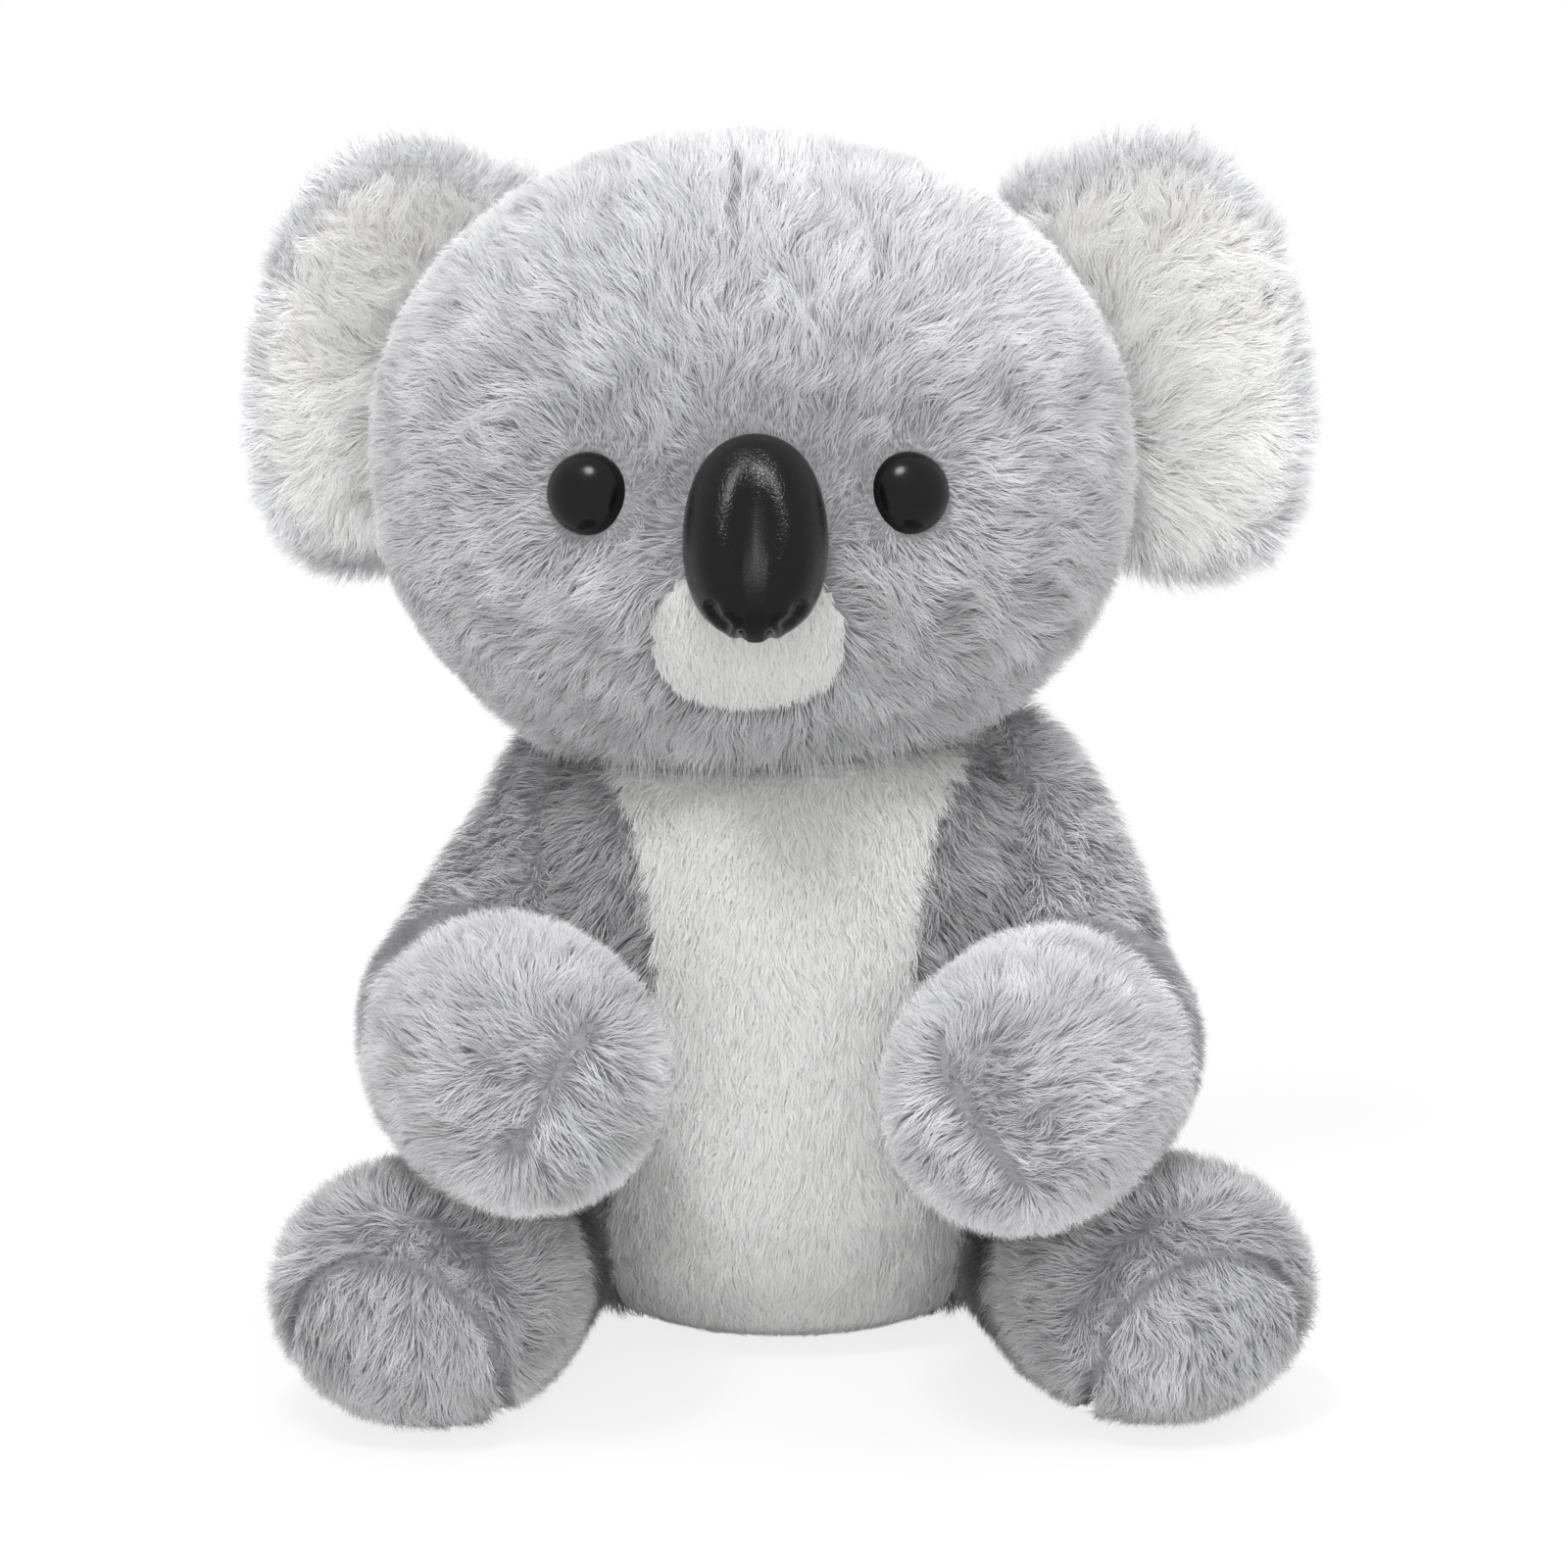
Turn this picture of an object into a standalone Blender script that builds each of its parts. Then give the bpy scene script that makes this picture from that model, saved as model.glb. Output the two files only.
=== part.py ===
"""A seated plush koala: stuffed fur-fabric covers, plastic nose and eyes, and the stuffing inside.

Lengths are metres, +Z is up, the toy faces -Y and sits on the floor at z = 0.
Left and right are the toy's own, so left is +X.
"""

import math

import bmesh
import bpy
from mathutils import Matrix, Vector

# The cloth and the clearances
CLOTH = 0.004  # backing and pressed pile together
GAP = 0.0003  # between pieces that touch
WAD_ROOM = 0.0004  # between the cloth and the stuffing
LIMB_ROOM = 0.0006  # between the torso and an arm or a leg
NECK_ROOM = 0.0036  # between the head and the dish of the torso, so that the head can nod
FLAT = 0.0005  # how deep the seat and feet are flattened by the floor

# Torso
TORSO_HEIGHT = 0.1125
TORSO_HALF_WIDTH = 0.0505
TORSO_HALF_DEPTH = 0.0470
TORSO_LEAN = 0.003  # how far the top sits behind the seat
SHOULDER_FLAT = 0.040  # from the middle to the flat side under the shoulder
SHOULDER_HEIGHT = 0.096
SIDE_SLOPE = 0.115  # how the flat side widens downwards, as a ratio
TORSO_WIDTH_SHARES = (0.94, 1.0, 0.99, 0.95, 0.90)
TORSO_DEPTH_SHARES = (0.94, 1.0, 0.97, 0.90, 0.84)

# Head
HEAD_WIDTH = 0.1305
HEAD_HEIGHT = 0.1082
HEAD_DEPTH = 0.103
HEAD_OFFSET = 0.006  # the head sits this far to the toy's right
HEAD_FORWARD = 0.008  # the bottom of the head is this far in front of the torso's middle
HEAD_TOP_BACK = 0.004  # and its top this far behind it
HEAD_SINK = 0.0100  # how deep the head sinks in the torso's dish
HEAD_WIDTH_SHARES = (0.97, 1.0, 1.0, 0.99, 0.97)
HEAD_DEPTH_SHARES = (0.95, 1.0, 1.0, 1.0, 1.0)
MUZZLE_SWELL = 0.008
MUZZLE_RADIUS = 0.024
MUZZLE_HEIGHT_SHARE = 0.37  # of the head's height
BROW_DENT = 0.0025

# Neck
NECK_RADIUS = 0.024
NECK_PLAY = 0.0008  # round the neck, in the torso and in the head

# Nose
NOSE_WIDTH = 0.0240
NOSE_HEIGHT = 0.0345
NOSE_DEPTH = 0.0190
NOSE_HEIGHT_SHARE = 0.430  # its middle, of the head's height
NOSE_PROUD = 0.0030  # its middle ahead of the cloth
NOSE_ASIDE = 0.0013  # to the toy's left of the head's middle
NOSE_LEAN = math.radians(10)
NOSTRIL_RADIUS = 0.0028
NOSTRIL_SPACING = 0.0078
NOSE_STEM_RADIUS = 0.0024
NOSE_WASHER_RADIUS = 0.0085

# Eyes
EYE_DIAMETER = 0.0140
EYE_BULGE = 0.0052
EYE_SPACING = 0.0534
EYE_HEIGHT_SHARE = 0.488
EYE_STEM_RADIUS = 0.0017
EYE_WASHER_RADIUS = 0.0068

# Stems and lock washers of the nose and the eyes
STEM_LENGTH = 0.0145
WASHER_THICKNESS = 0.0016
WASHER_ROOM = 0.0012  # from the cloth's inner side to the washer's middle

# White muzzle panel under the nose
MUZZLE_PANEL_HALF_WIDTH = 0.0158
MUZZLE_PANEL_HEIGHT = 0.0240
MUZZLE_PANEL_TOP_SHARE = 0.379  # of the head's height

# Ears
EAR_LENGTH = 0.0405  # from its root outwards
EAR_HEIGHT = 0.083
EAR_THICKNESS = 0.0165
EAR_ROOT_RADIUS = 0.0062
EAR_ROOT_HALF_LENGTH = 0.015
EAR_CURL = 0.009
EAR_ROOT_HEIGHT_SHARE = {"left": 0.585, "right": 0.583}  # of the head's height
EAR_ROOT_BACK = {"left": 0.020, "right": 0.030}  # behind the torso's middle
EAR_ROOT_PROUD = 0.0015  # its axis outside the head's side
EAR_ROOT_LEAN = math.radians(-14)
EAR_TURN = {"left": math.radians(0), "right": math.radians(6)}  # positive turns forwards
EAR_CLOTH = 0.003
EAR_MIDDLE_SHARE = 0.42  # where the ear is tallest, of its length
EAR_OUTLINE_POWER = 0.86  # under 1 makes its outline squarer than an ellipse
EAR_SKEW = 0.12  # how much further outwards its upper half reaches, as a share
EAR_LOWER_SHARE = 0.95  # its lower half's height, of its upper half's
EAR_UPPER_REACH = 0.9  # how much further inwards its upper half reaches, as a share
EAR_LINING_SHARE = 0.80  # of the ear's outline
EAR_ROOM = 0.0025  # between the ear and the head, so that the ear can fold

# Arms
ARM_RADIUS = 0.0175
PAW_RADIUS = 0.0232
ARM_DROP = {"left": 0.040, "right": 0.035}  # from the shoulder to the middle of the upper arm's bend
ELBOW_OUT = {"left": 0.0122, "right": 0.0138}  # the bend outside the shoulder flat
UPPER_ARM_OUT = {"left": 0.0055, "right": 0.0010}  # above the bend, outside the same
ELBOW_FORWARD = 0.020
PAW_IN = {"left": 0.0065, "right": 0.0020}  # the paw's end inside the shoulder flat
PAW_REACH = 0.104
PAW_DROP = 0.0366
ARM_RADIUS_SHARES = (0.90, 0.93, 0.99, 1.06, 1.0, 1.0)
PAW_SHARES = (0.0, 0.0, 0.0, 0.15, 1.0, 1.0)
ARM_LIFT = {"left": math.radians(0.2), "right": math.radians(3)}  # as it rests
ARM_RANGE = {"left": math.radians(25), "right": math.radians(20)}  # from there upwards
ARM_STEPS = 3  # how many lifts besides the lowest the arm is cut free at
ARM_ROOM_SHARE = 0.4  # of its room is given up by the highest lift

# Legs
LEG_RADIUS = 0.0180
FOOT_HALF_WIDTH = 0.0270
FOOT_HALF_HEIGHT = 0.0233
LEG_LENGTH = 0.103
HIP_OUT = {"left": 0.0370, "right": 0.0400}
HIP_BACK = 0.010  # the leg's rear end behind the torso's middle
HIP_HINGE_OUT = 0.0475
HIP_HINGE_BACK = 0.0135
LEG_DIRECTION = {"left": math.radians(19), "right": math.radians(14.5)}
SOLE_RADIUS = 0.0170
SOLE_DROP = 0.0040  # the middle of the sole under that of the foot
LEG_RADIUS_SHARES = (0.98, 1.0, 0.98, 0.96, 1.0, 1.0)
FOOT_SHARES = (0.0, 0.0, 0.05, 0.34, 0.88, 1.0)

# Belly panel, its half width at even steps from the floor to the neck
BELLY_HALF_WIDTHS = (0.0270, 0.0310, 0.0295, 0.0255, 0.0225, 0.0225, 0.0265, 0.0350)

# Pellet bag in the seat
BAG_HALF_WIDTH = 0.032
BAG_HALF_DEPTH = 0.028
BAG_HEIGHT = 0.030

# Sides and rings of the plainer inner forms
TRUNK_INNER = (16, 10)
LIMB_INNER = (12, 8)
EAR_DETAIL = (16, 8)
NECK_DETAIL = (16, 10)

# Worked out from the sizes above
OVERRUN = TORSO_HEIGHT  # how far a cutter runs past what it cuts
SIDES = {"left": 1, "right": -1}
HEAD_BOTTOM = TORSO_HEIGHT - HEAD_SINK
HEAD_X = -HEAD_OFFSET
NECK = Vector((HEAD_X * 0.6, -HEAD_FORWARD * 0.3, HEAD_BOTTOM + GAP * 3))
SIDE_TILT = math.atan(SIDE_SLOPE)

GREY_FUR = (0.62, 0.62, 0.64)
WHITE_FUR = (0.86, 0.85, 0.83)
WADDING = (0.93, 0.93, 0.92)
BLACK_PLASTIC = (0.012, 0.012, 0.013)
CLEAR_PLASTIC = (0.80, 0.80, 0.78)
COTTON = (0.72, 0.66, 0.55)


def empty_the_scene():
    for thing in list(bpy.data.objects):
        bpy.data.objects.remove(thing)


def plain_material(name, colour, roughness):
    material = bpy.data.materials.get(name)
    if material is None:
        material = bpy.data.materials.new(name)
        material.use_nodes = True
        shader = material.node_tree.nodes["Principled BSDF"]
        shader.inputs["Base Color"].default_value = (*colour, 1)
        shader.inputs["Roughness"].default_value = roughness
        shader.inputs["Metallic"].default_value = 0
    return material


def add_object(name, bm):
    if bm.calc_volume(signed=True) < 0:
        bmesh.ops.reverse_faces(bm, faces=bm.faces)
    mesh = bpy.data.meshes.new(name)
    bm.to_mesh(mesh)
    bm.free()
    thing = bpy.data.objects.new(name, mesh)
    bpy.context.scene.collection.objects.link(thing)
    return thing


def drop(*things):
    for thing in things:
        bpy.data.objects.remove(thing)


def carve(target, cutter, operation="DIFFERENCE"):
    """Cut, join or intersect target with cutter, and keep the cutter."""
    modifier = target.modifiers.new("carve", "BOOLEAN")
    modifier.object = cutter
    modifier.operation = operation
    modifier.solver = "EXACT"
    depsgraph = bpy.context.evaluated_depsgraph_get()
    carved = bpy.data.meshes.new_from_object(target.evaluated_get(depsgraph))
    target.modifiers.remove(modifier)
    bm = bmesh.new()
    bm.from_mesh(carved)
    bmesh.ops.triangulate(bm, faces=bm.faces)
    bm.to_mesh(carved)
    bm.free()
    target.data = carved
    return target


def copy_of(thing, name):
    twin = thing.copy()
    twin.data = thing.data.copy()
    twin.name = name
    bpy.context.scene.collection.objects.link(twin)
    return twin


def turned(thing, angle, axis, centre):
    """Turn the mesh itself about an axis through centre."""
    turn = Matrix.Rotation(angle, 4, axis)
    thing.data.transform(Matrix.Translation(centre) @ turn @ Matrix.Translation(-centre))
    thing.data.update()
    return thing


def placed(thing, frame):
    """Put a mesh in a frame, which may mirror it."""
    thing.data.transform(frame)
    if frame.determinant() < 0:
        thing.data.flip_normals()
    return thing


def mirrored(point, side):
    return Vector((point[0] * SIDES[side], point[1], point[2]))


def eased(values, t):
    """Catmull-Rom value at t from 0 to 1, for numbers or vectors at even steps."""
    last = len(values) - 1
    place = min(max(t, 0.0), 1.0) * last
    step = min(int(place), last - 1)
    f = place - step
    a, b, c, d = (values[min(max(step + k, 0), last)] for k in (-1, 0, 1, 2))
    swing = (c - a) * f + (a * 2 - b * 5 + c * 4 - d) * f**2 + (b * 3 - a - c * 3 + d) * f**3
    return b + swing * 0.5


class Spine:
    """A smooth line through points, read by length."""

    def __init__(self, points, steps=80):
        self.line = [eased(points, k / steps) for k in range(steps + 1)]
        self.far = [0.0]
        for a, b in zip(self.line, self.line[1:]):
            self.far.append(self.far[-1] + (b - a).length)
        self.length = self.far[-1]

    def at(self, distance):
        """The point at a distance along the line, and its direction there."""
        k = 1
        while k < len(self.far) - 1 and self.far[k] < distance:
            k += 1
        a, b = self.line[k - 1], self.line[k]
        share = (distance - self.far[k - 1]) / (self.far[k] - self.far[k - 1])
        return a.lerp(b, share), (b - a).normalized()


def stuffed(name, points, widths, depths, powers, inset=0.0, detail=(24, 14), shape=None):
    """A closed stuffed form: a ball drawn out along a spine, with a half width and half depth.

    powers are the fullness of the first and last end: 2 is an ellipse, more is blunter.
    inset makes the same form smaller all round, or larger where it is negative.
    """
    spine = Spine(points)
    bm = bmesh.new()
    bmesh.ops.create_uvsphere(bm, u_segments=detail[0], v_segments=detail[1], radius=1)
    for vert in bm.verts:
        x, y, z = vert.co
        around = math.hypot(x, y)
        along = min(max(z, -1.0), 1.0)
        power = powers[0] if along < 0 else powers[1]
        fullness = (1 - abs(along) ** power) ** (1 / power) if around > 1e-6 else 0.0
        t = (along + 1) / 2
        centre, forward = spine.at(inset + t * (spine.length - inset * 2))
        side = Vector((1, 0, 0))
        side = (side - forward * side.dot(forward)).normalized()
        across = forward.cross(side)
        around = max(around, 1e-6)
        wide = (eased(widths, t) - inset) * fullness * x / around
        deep = (eased(depths, t) - inset) * fullness * y / around
        vert.co = centre + side * wide + across * deep
        if shape:
            vert.co = shape(vert.co.copy(), inset)
    bmesh.ops.recalc_face_normals(bm, faces=bm.faces)
    return add_object(name, bm)


def block(name, low, high):
    bm = bmesh.new()
    bmesh.ops.create_cube(bm, size=1)
    low, high = Vector(low), Vector(high)
    for vert in bm.verts:
        vert.co = Vector(low[k] + (high[k] - low[k]) * (vert.co[k] + 0.5) for k in range(3))
    return add_object(name, bm)


def rod(name, start, end, radius, segments=16):
    """A cylinder from start to end."""
    start, end = Vector(start), Vector(end)
    bm = bmesh.new()
    length = (end - start).length
    bmesh.ops.create_cone(
        bm, cap_ends=True, segments=segments, radius1=radius, radius2=radius, depth=length
    )
    aim = (end - start).to_track_quat("Z", "Y").to_matrix().to_4x4()
    bm.transform(Matrix.Translation((start + end) / 2) @ aim)
    return add_object(name, bm)


def ball(name, centre, radii, segments=20, rings=12):
    bm = bmesh.new()
    bmesh.ops.create_uvsphere(bm, u_segments=segments, v_segments=rings, radius=1)
    for vert in bm.verts:
        vert.co = Vector(centre[k] + vert.co[k] * radii[k] for k in range(3))
    return add_object(name, bm)


def outline_prism(name, outline, y_front, y_back):
    """A prism along Y from an outline of (x, z) points."""
    bm = bmesh.new()
    front = [bm.verts.new((x, y_front, z)) for x, z in outline]
    face = bm.faces.new(front)
    push = bmesh.ops.extrude_face_region(bm, geom=[face])
    moved = [item for item in push["geom"] if isinstance(item, bmesh.types.BMVert)]
    bmesh.ops.translate(bm, verts=moved, vec=(0, y_back - y_front, 0))
    bmesh.ops.recalc_face_normals(bm, faces=bm.faces)
    return add_object(name, bm)


def stuffing_for(hollow, name):
    """Stuffing that fills a hollow, with a gap all round."""
    stuffing = copy_of(hollow, name)
    moves = [vert.normal * WAD_ROOM for vert in stuffing.data.vertices]
    for vert, move in zip(stuffing.data.vertices, moves):
        vert.co -= move
    return stuffing


def split_panel(cover, panel_name, cutter_at):
    """Take a sewn-in panel out of a cover: both keep the cloth, with a seam's gap between."""
    panel = copy_of(cover, panel_name)
    small, large = cutter_at(-GAP / 2), cutter_at(GAP / 2)
    carve(panel, small, "INTERSECT")
    carve(cover, large)
    drop(small, large)
    return panel


# Torso


def torso_shape(point, inset):
    limit = SHOULDER_FLAT + (SHOULDER_HEIGHT - point.z) * SIDE_SLOPE - inset
    point.x = min(max(point.x, -limit), limit)
    return point


def torso_form(name, inset=0.0, detail=(24, 12)):
    """The torso's outer form, dished at the top where the head sinks in, and smaller by inset."""
    lean = TORSO_LEAN
    spine = [Vector((0, lean * (k / 4 - 0.5), TORSO_HEIGHT * k / 4 - FLAT)) for k in range(5)]
    widths = [TORSO_HALF_WIDTH * share for share in TORSO_WIDTH_SHARES]
    depths = [TORSO_HALF_DEPTH * share for share in TORSO_DEPTH_SHARES]
    form = stuffed(name, spine, widths, depths, (3.5, 4.5), inset, detail, torso_shape)
    dish = head_form("dish", -NECK_ROOM - inset, (16, 10))
    carve(form, dish)
    drop(dish)
    return form


# Head


def head_shape(point, inset):
    """Push the muzzle forward and draw the brow in between the eyes and the muzzle."""
    middle = HEAD_BOTTOM + HEAD_HEIGHT * MUZZLE_HEIGHT_SHARE
    if point.y < -HEAD_FORWARD:
        away = math.hypot(point.x - HEAD_X, point.z - middle) / MUZZLE_RADIUS
        point.y -= MUZZLE_SWELL * math.exp(-(away**2))
        brow = math.hypot(point.x - HEAD_X, point.z - middle - MUZZLE_RADIUS * 1.5)
        point.y += BROW_DENT * math.exp(-((brow / MUZZLE_RADIUS) ** 2))
    return point


def head_form(name, inset=0.0, detail=(24, 14)):
    steps = range(5)
    spine = [
        Vector(
            (
                HEAD_X,
                -HEAD_FORWARD + (HEAD_FORWARD + HEAD_TOP_BACK) * k / 4,
                HEAD_BOTTOM + HEAD_HEIGHT * k / 4,
            )
        )
        for k in steps
    ]
    widths = [HEAD_WIDTH / 2 * share for share in HEAD_WIDTH_SHARES]
    depths = [HEAD_DEPTH / 2 * share for share in HEAD_DEPTH_SHARES]
    return stuffed(name, spine, widths, depths, (2.4, 2.05), inset, detail, head_shape)


def head_surface(x, z, form):
    """The front of the head at a place seen from the front."""
    hit, place, normal, _ = form.ray_cast(Vector((x, -OVERRUN, z)), Vector((0, 1, 0)))
    return place, normal


# Nose and eyes


def lock_washer(name, face, inwards, radius, stem_radius):
    middle = face + inwards * (CLOTH + WASHER_ROOM)
    washer = rod(name, middle, middle + inwards * WASHER_THICKNESS, radius)
    bore = rod("bore", face - inwards * OVERRUN, face + inwards * OVERRUN, stem_radius + GAP)
    carve(washer, bore)
    drop(bore)
    return washer


def make_nose(form, cover, wad):
    z = HEAD_BOTTOM + HEAD_HEIGHT * NOSE_HEIGHT_SHARE
    face, _ = head_surface(HEAD_X + NOSE_ASIDE, z, form)
    inwards = Vector((0, math.cos(NOSE_LEAN), -math.sin(NOSE_LEAN)))
    bm = bmesh.new()
    bmesh.ops.create_uvsphere(bm, u_segments=20, v_segments=14, radius=1)
    for vert in bm.verts:
        x, y, z = vert.co
        full = 1 + 0.12 * z * z - 0.03 * z  # a little wider at the bottom than at the top
        vert.co = Vector(
            (
                x * NOSE_WIDTH / 2 * full,
                y * NOSE_DEPTH / 2 * (1 - 0.20 * z),
                z * NOSE_HEIGHT / 2,
            )
        )
    lean = Matrix.Rotation(-NOSE_LEAN, 4, "X")
    bm.transform(Matrix.Translation(face - inwards * NOSE_PROUD) @ lean)
    nose = add_object("nose", bm)
    grown = head_form("face cutter", -GAP)
    carve(nose, grown)
    drop(grown)
    tip = face - inwards * (NOSE_PROUD + NOSE_DEPTH * 0.34)
    down = Vector((0, -math.sin(NOSE_LEAN), -math.cos(NOSE_LEAN)))
    for way in SIDES.values():
        place = tip + down * NOSE_HEIGHT * 0.47 + Vector((way * NOSTRIL_SPACING / 2, 0, 0))
        scoop = ball("scoop", place, (NOSTRIL_RADIUS, NOSE_DEPTH * 0.28, NOSTRIL_RADIUS), 12, 8)
        carve(nose, scoop)
        drop(scoop)
    fit_stem(nose, "nose_washer", face, inwards, NOSE_STEM_RADIUS, NOSE_WASHER_RADIUS, cover, wad)
    return nose


def make_eye(side, form, cover, wad):
    x = HEAD_X + SIDES[side] * EYE_SPACING / 2
    z = HEAD_BOTTOM + HEAD_HEIGHT * EYE_HEIGHT_SHARE
    face, normal = head_surface(x, z, form)
    inwards = (-normal + Vector((0, 1, 0))).normalized()
    eye = ball("eye_" + side, (0, 0, 0), (EYE_DIAMETER / 2, EYE_DIAMETER / 2, EYE_BULGE), 20, 12)
    aim = (-inwards).to_track_quat("Z", "Y").to_matrix().to_4x4()
    eye.data.transform(Matrix.Translation(face) @ aim)
    grown = head_form("face cutter", -GAP)
    carve(eye, grown)
    drop(grown)
    washer = "eye_washer_" + side
    fit_stem(eye, washer, face, inwards, EYE_STEM_RADIUS, EYE_WASHER_RADIUS, cover, wad)
    return eye


def fit_stem(button, washer_name, face, inwards, stem_radius, washer_radius, cover, wad):
    """Give a button its stem and washer, and cut their ways through the cloth and stuffing."""
    stem = rod("stem", face - inwards * GAP * 6, face + inwards * STEM_LENGTH, stem_radius)
    carve(button, stem, "UNION")
    hole = rod("hole", face - inwards * CLOTH, face + inwards * CLOTH * 3, stem_radius + GAP)
    seat = face + inwards * (CLOTH + WASHER_ROOM - GAP)
    deep = face + inwards * (STEM_LENGTH + GAP * 2)
    for piece, start in ((cover, seat), (wad, face)):
        room = rod("room", start, deep, washer_radius + GAP)
        carve(piece, hole)
        carve(piece, room)
        drop(room)
    drop(stem, hole)
    return lock_washer(washer_name, face, inwards, washer_radius, stem_radius)


# Ears


def ear_edge(angle):
    """The ear's outline at an angle, as shares of its half length and half height."""
    c, s = math.cos(angle), math.sin(angle)
    wide = math.copysign(abs(c) ** EAR_OUTLINE_POWER, c)
    tall = math.copysign(abs(s) ** EAR_OUTLINE_POWER, s)
    reach = EAR_SKEW * tall if c > 0 else EAR_UPPER_REACH * max(tall, 0) ** 2
    return wide * (1 + reach), tall if tall > 0 else tall * EAR_LOWER_SHARE


def ear_outline(share, steps=24):
    """The ear's edge in its own plane, scaled about the ear's middle."""
    middle = EAR_LENGTH * EAR_MIDDLE_SHARE
    edge = [ear_edge(math.tau * k / steps) for k in range(steps)]
    return [
        (middle + share * (EAR_LENGTH - middle) * x, share * EAR_HEIGHT / 2 * z) for x, z in edge
    ]


def ear_form(name, inset=0.0):
    """A thick rounded leaf: x outwards from its root, z along it, and y towards the back."""
    middle = EAR_LENGTH * EAR_MIDDLE_SHARE
    bm = bmesh.new()
    bmesh.ops.create_uvsphere(bm, u_segments=EAR_DETAIL[0], v_segments=EAR_DETAIL[1], radius=1)
    for vert in bm.verts:
        # the ball's poles point to the ear's front and back
        x, z, y = vert.co
        ring = math.hypot(x, z)
        wide, tall = ear_edge(math.atan2(z, x))
        place = Vector(
            (
                middle + wide * ring * (EAR_LENGTH - middle - inset),
                y * (EAR_THICKNESS / 2 - inset),
                tall * ring * (EAR_HEIGHT / 2 - inset),
            )
        )
        outwards = min(max(place.x / EAR_LENGTH, 0.0), 1.0)
        ends = (place.z / EAR_HEIGHT * 2) ** 2
        place.y -= EAR_CURL * outwards * (outwards * 0.6 + ends * 0.7)
        vert.co = place
    return add_object(name, bm)


def ear_root(name, grow=0.0):
    """The rolled seam that the ear turns on."""
    radius = EAR_ROOT_RADIUS + grow
    points = [Vector((0, 0, (EAR_ROOT_HALF_LENGTH + radius) * k)) for k in (-1, -0.5, 0, 0.5, 1)]
    return stuffed(name, points, [radius] * 5, [radius] * 5, (3.4, 3.4), 0.0, (12, 8))


def place_ear(side):
    """The ear's own frame at rest: where its root lies on the head."""
    z = HEAD_BOTTOM + HEAD_HEIGHT * EAR_ROOT_HEIGHT_SHARE[side]
    form = head_form("probe")
    start = Vector((HEAD_X + SIDES[side] * OVERRUN, EAR_ROOT_BACK[side], z))
    bpy.context.view_layer.update()
    _, hit, _, _ = form.ray_cast(start, Vector((-SIDES[side], 0, 0)))
    drop(form)
    root = hit + Vector((SIDES[side] * EAR_ROOT_PROUD, 0, 0))
    lean = Matrix.Rotation(EAR_ROOT_LEAN, 4, "Y")
    turn = Matrix.Rotation(-EAR_TURN[side], 4, "Z")
    frame = lean @ turn
    if side == "right":
        frame = Matrix.Scale(-1, 4, (1, 0, 0)) @ frame
    return Matrix.Translation(root) @ frame


def make_ear(side, cover, wad):
    """The ear's back with its rolled root, its lining and its stuffing."""
    frame = place_ear(side)
    outer, hollow = ear_form("ear_back_" + side), ear_form("hollow", EAR_CLOTH)
    carve(outer, hollow)
    filling = stuffing_for(hollow, "ear_stuffing_" + side)
    root, groove = ear_root("root"), ear_root("groove", GAP)
    for piece in (outer, filling, root, groove):
        placed(piece, frame)
    head_room = head_form("head room", -EAR_ROOM)
    carve(outer, head_room)
    carve(filling, head_room)

    def lining_cutter(grow):
        share = EAR_LINING_SHARE + grow / EAR_LENGTH
        cutter = outline_prism("lining cutter", ear_outline(share), -OVERRUN, -EAR_CURL * 0.33)
        return placed(cutter, frame)

    lining = split_panel(outer, "ear_lining_" + side, lining_cutter)
    for piece in (lining, filling, cover, wad):
        carve(piece, groove)
    carve(outer, root, "UNION")
    drop(hollow, root, groove, head_room)
    return (outer, lining, filling), frame


# Arms


def arm_points(side):
    """The arm's spine from above the shoulder, round the bend and out to the paw."""
    out, high = SHOULDER_FLAT, SHOULDER_HEIGHT
    bend, drop = ELBOW_OUT[side], ARM_DROP[side]
    drawn = [
        (out - ARM_RADIUS * 0.25, ARM_RADIUS * 0.05, high + ARM_RADIUS * 0.85),
        (out + UPPER_ARM_OUT[side], -ELBOW_FORWARD * 0.20, high - drop * 0.32),
        (out + bend, -ELBOW_FORWARD, high - drop),
        (out + bend * 0.80, -PAW_REACH * 0.46, high - PAW_DROP),
        (out + bend * 0.30 - PAW_IN[side] * 0.63, -PAW_REACH * 0.74, high - PAW_DROP),
        (out - PAW_IN[side], -PAW_REACH, high - PAW_DROP),
    ]
    return [mirrored(point, side) for point in drawn]


def arm_form(name, side, inset=0.0, detail=(16, 11)):
    radii = [
        ARM_RADIUS * share + (PAW_RADIUS - ARM_RADIUS) * paw
        for share, paw in zip(ARM_RADIUS_SHARES, PAW_SHARES)
    ]
    return stuffed(name, arm_points(side), radii, radii, (2.6, 3.0), inset, detail)


def shoulder(side):
    """The shoulder's hinge: a point on the flat side, and the axis that lifts the arm."""
    place = mirrored((SHOULDER_FLAT, -ARM_RADIUS * 0.15, SHOULDER_HEIGHT), side)
    axis = mirrored((-math.cos(SIDE_TILT), 0, -math.sin(SIDE_TILT)), side)
    return place, axis if side == "left" else -axis


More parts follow.
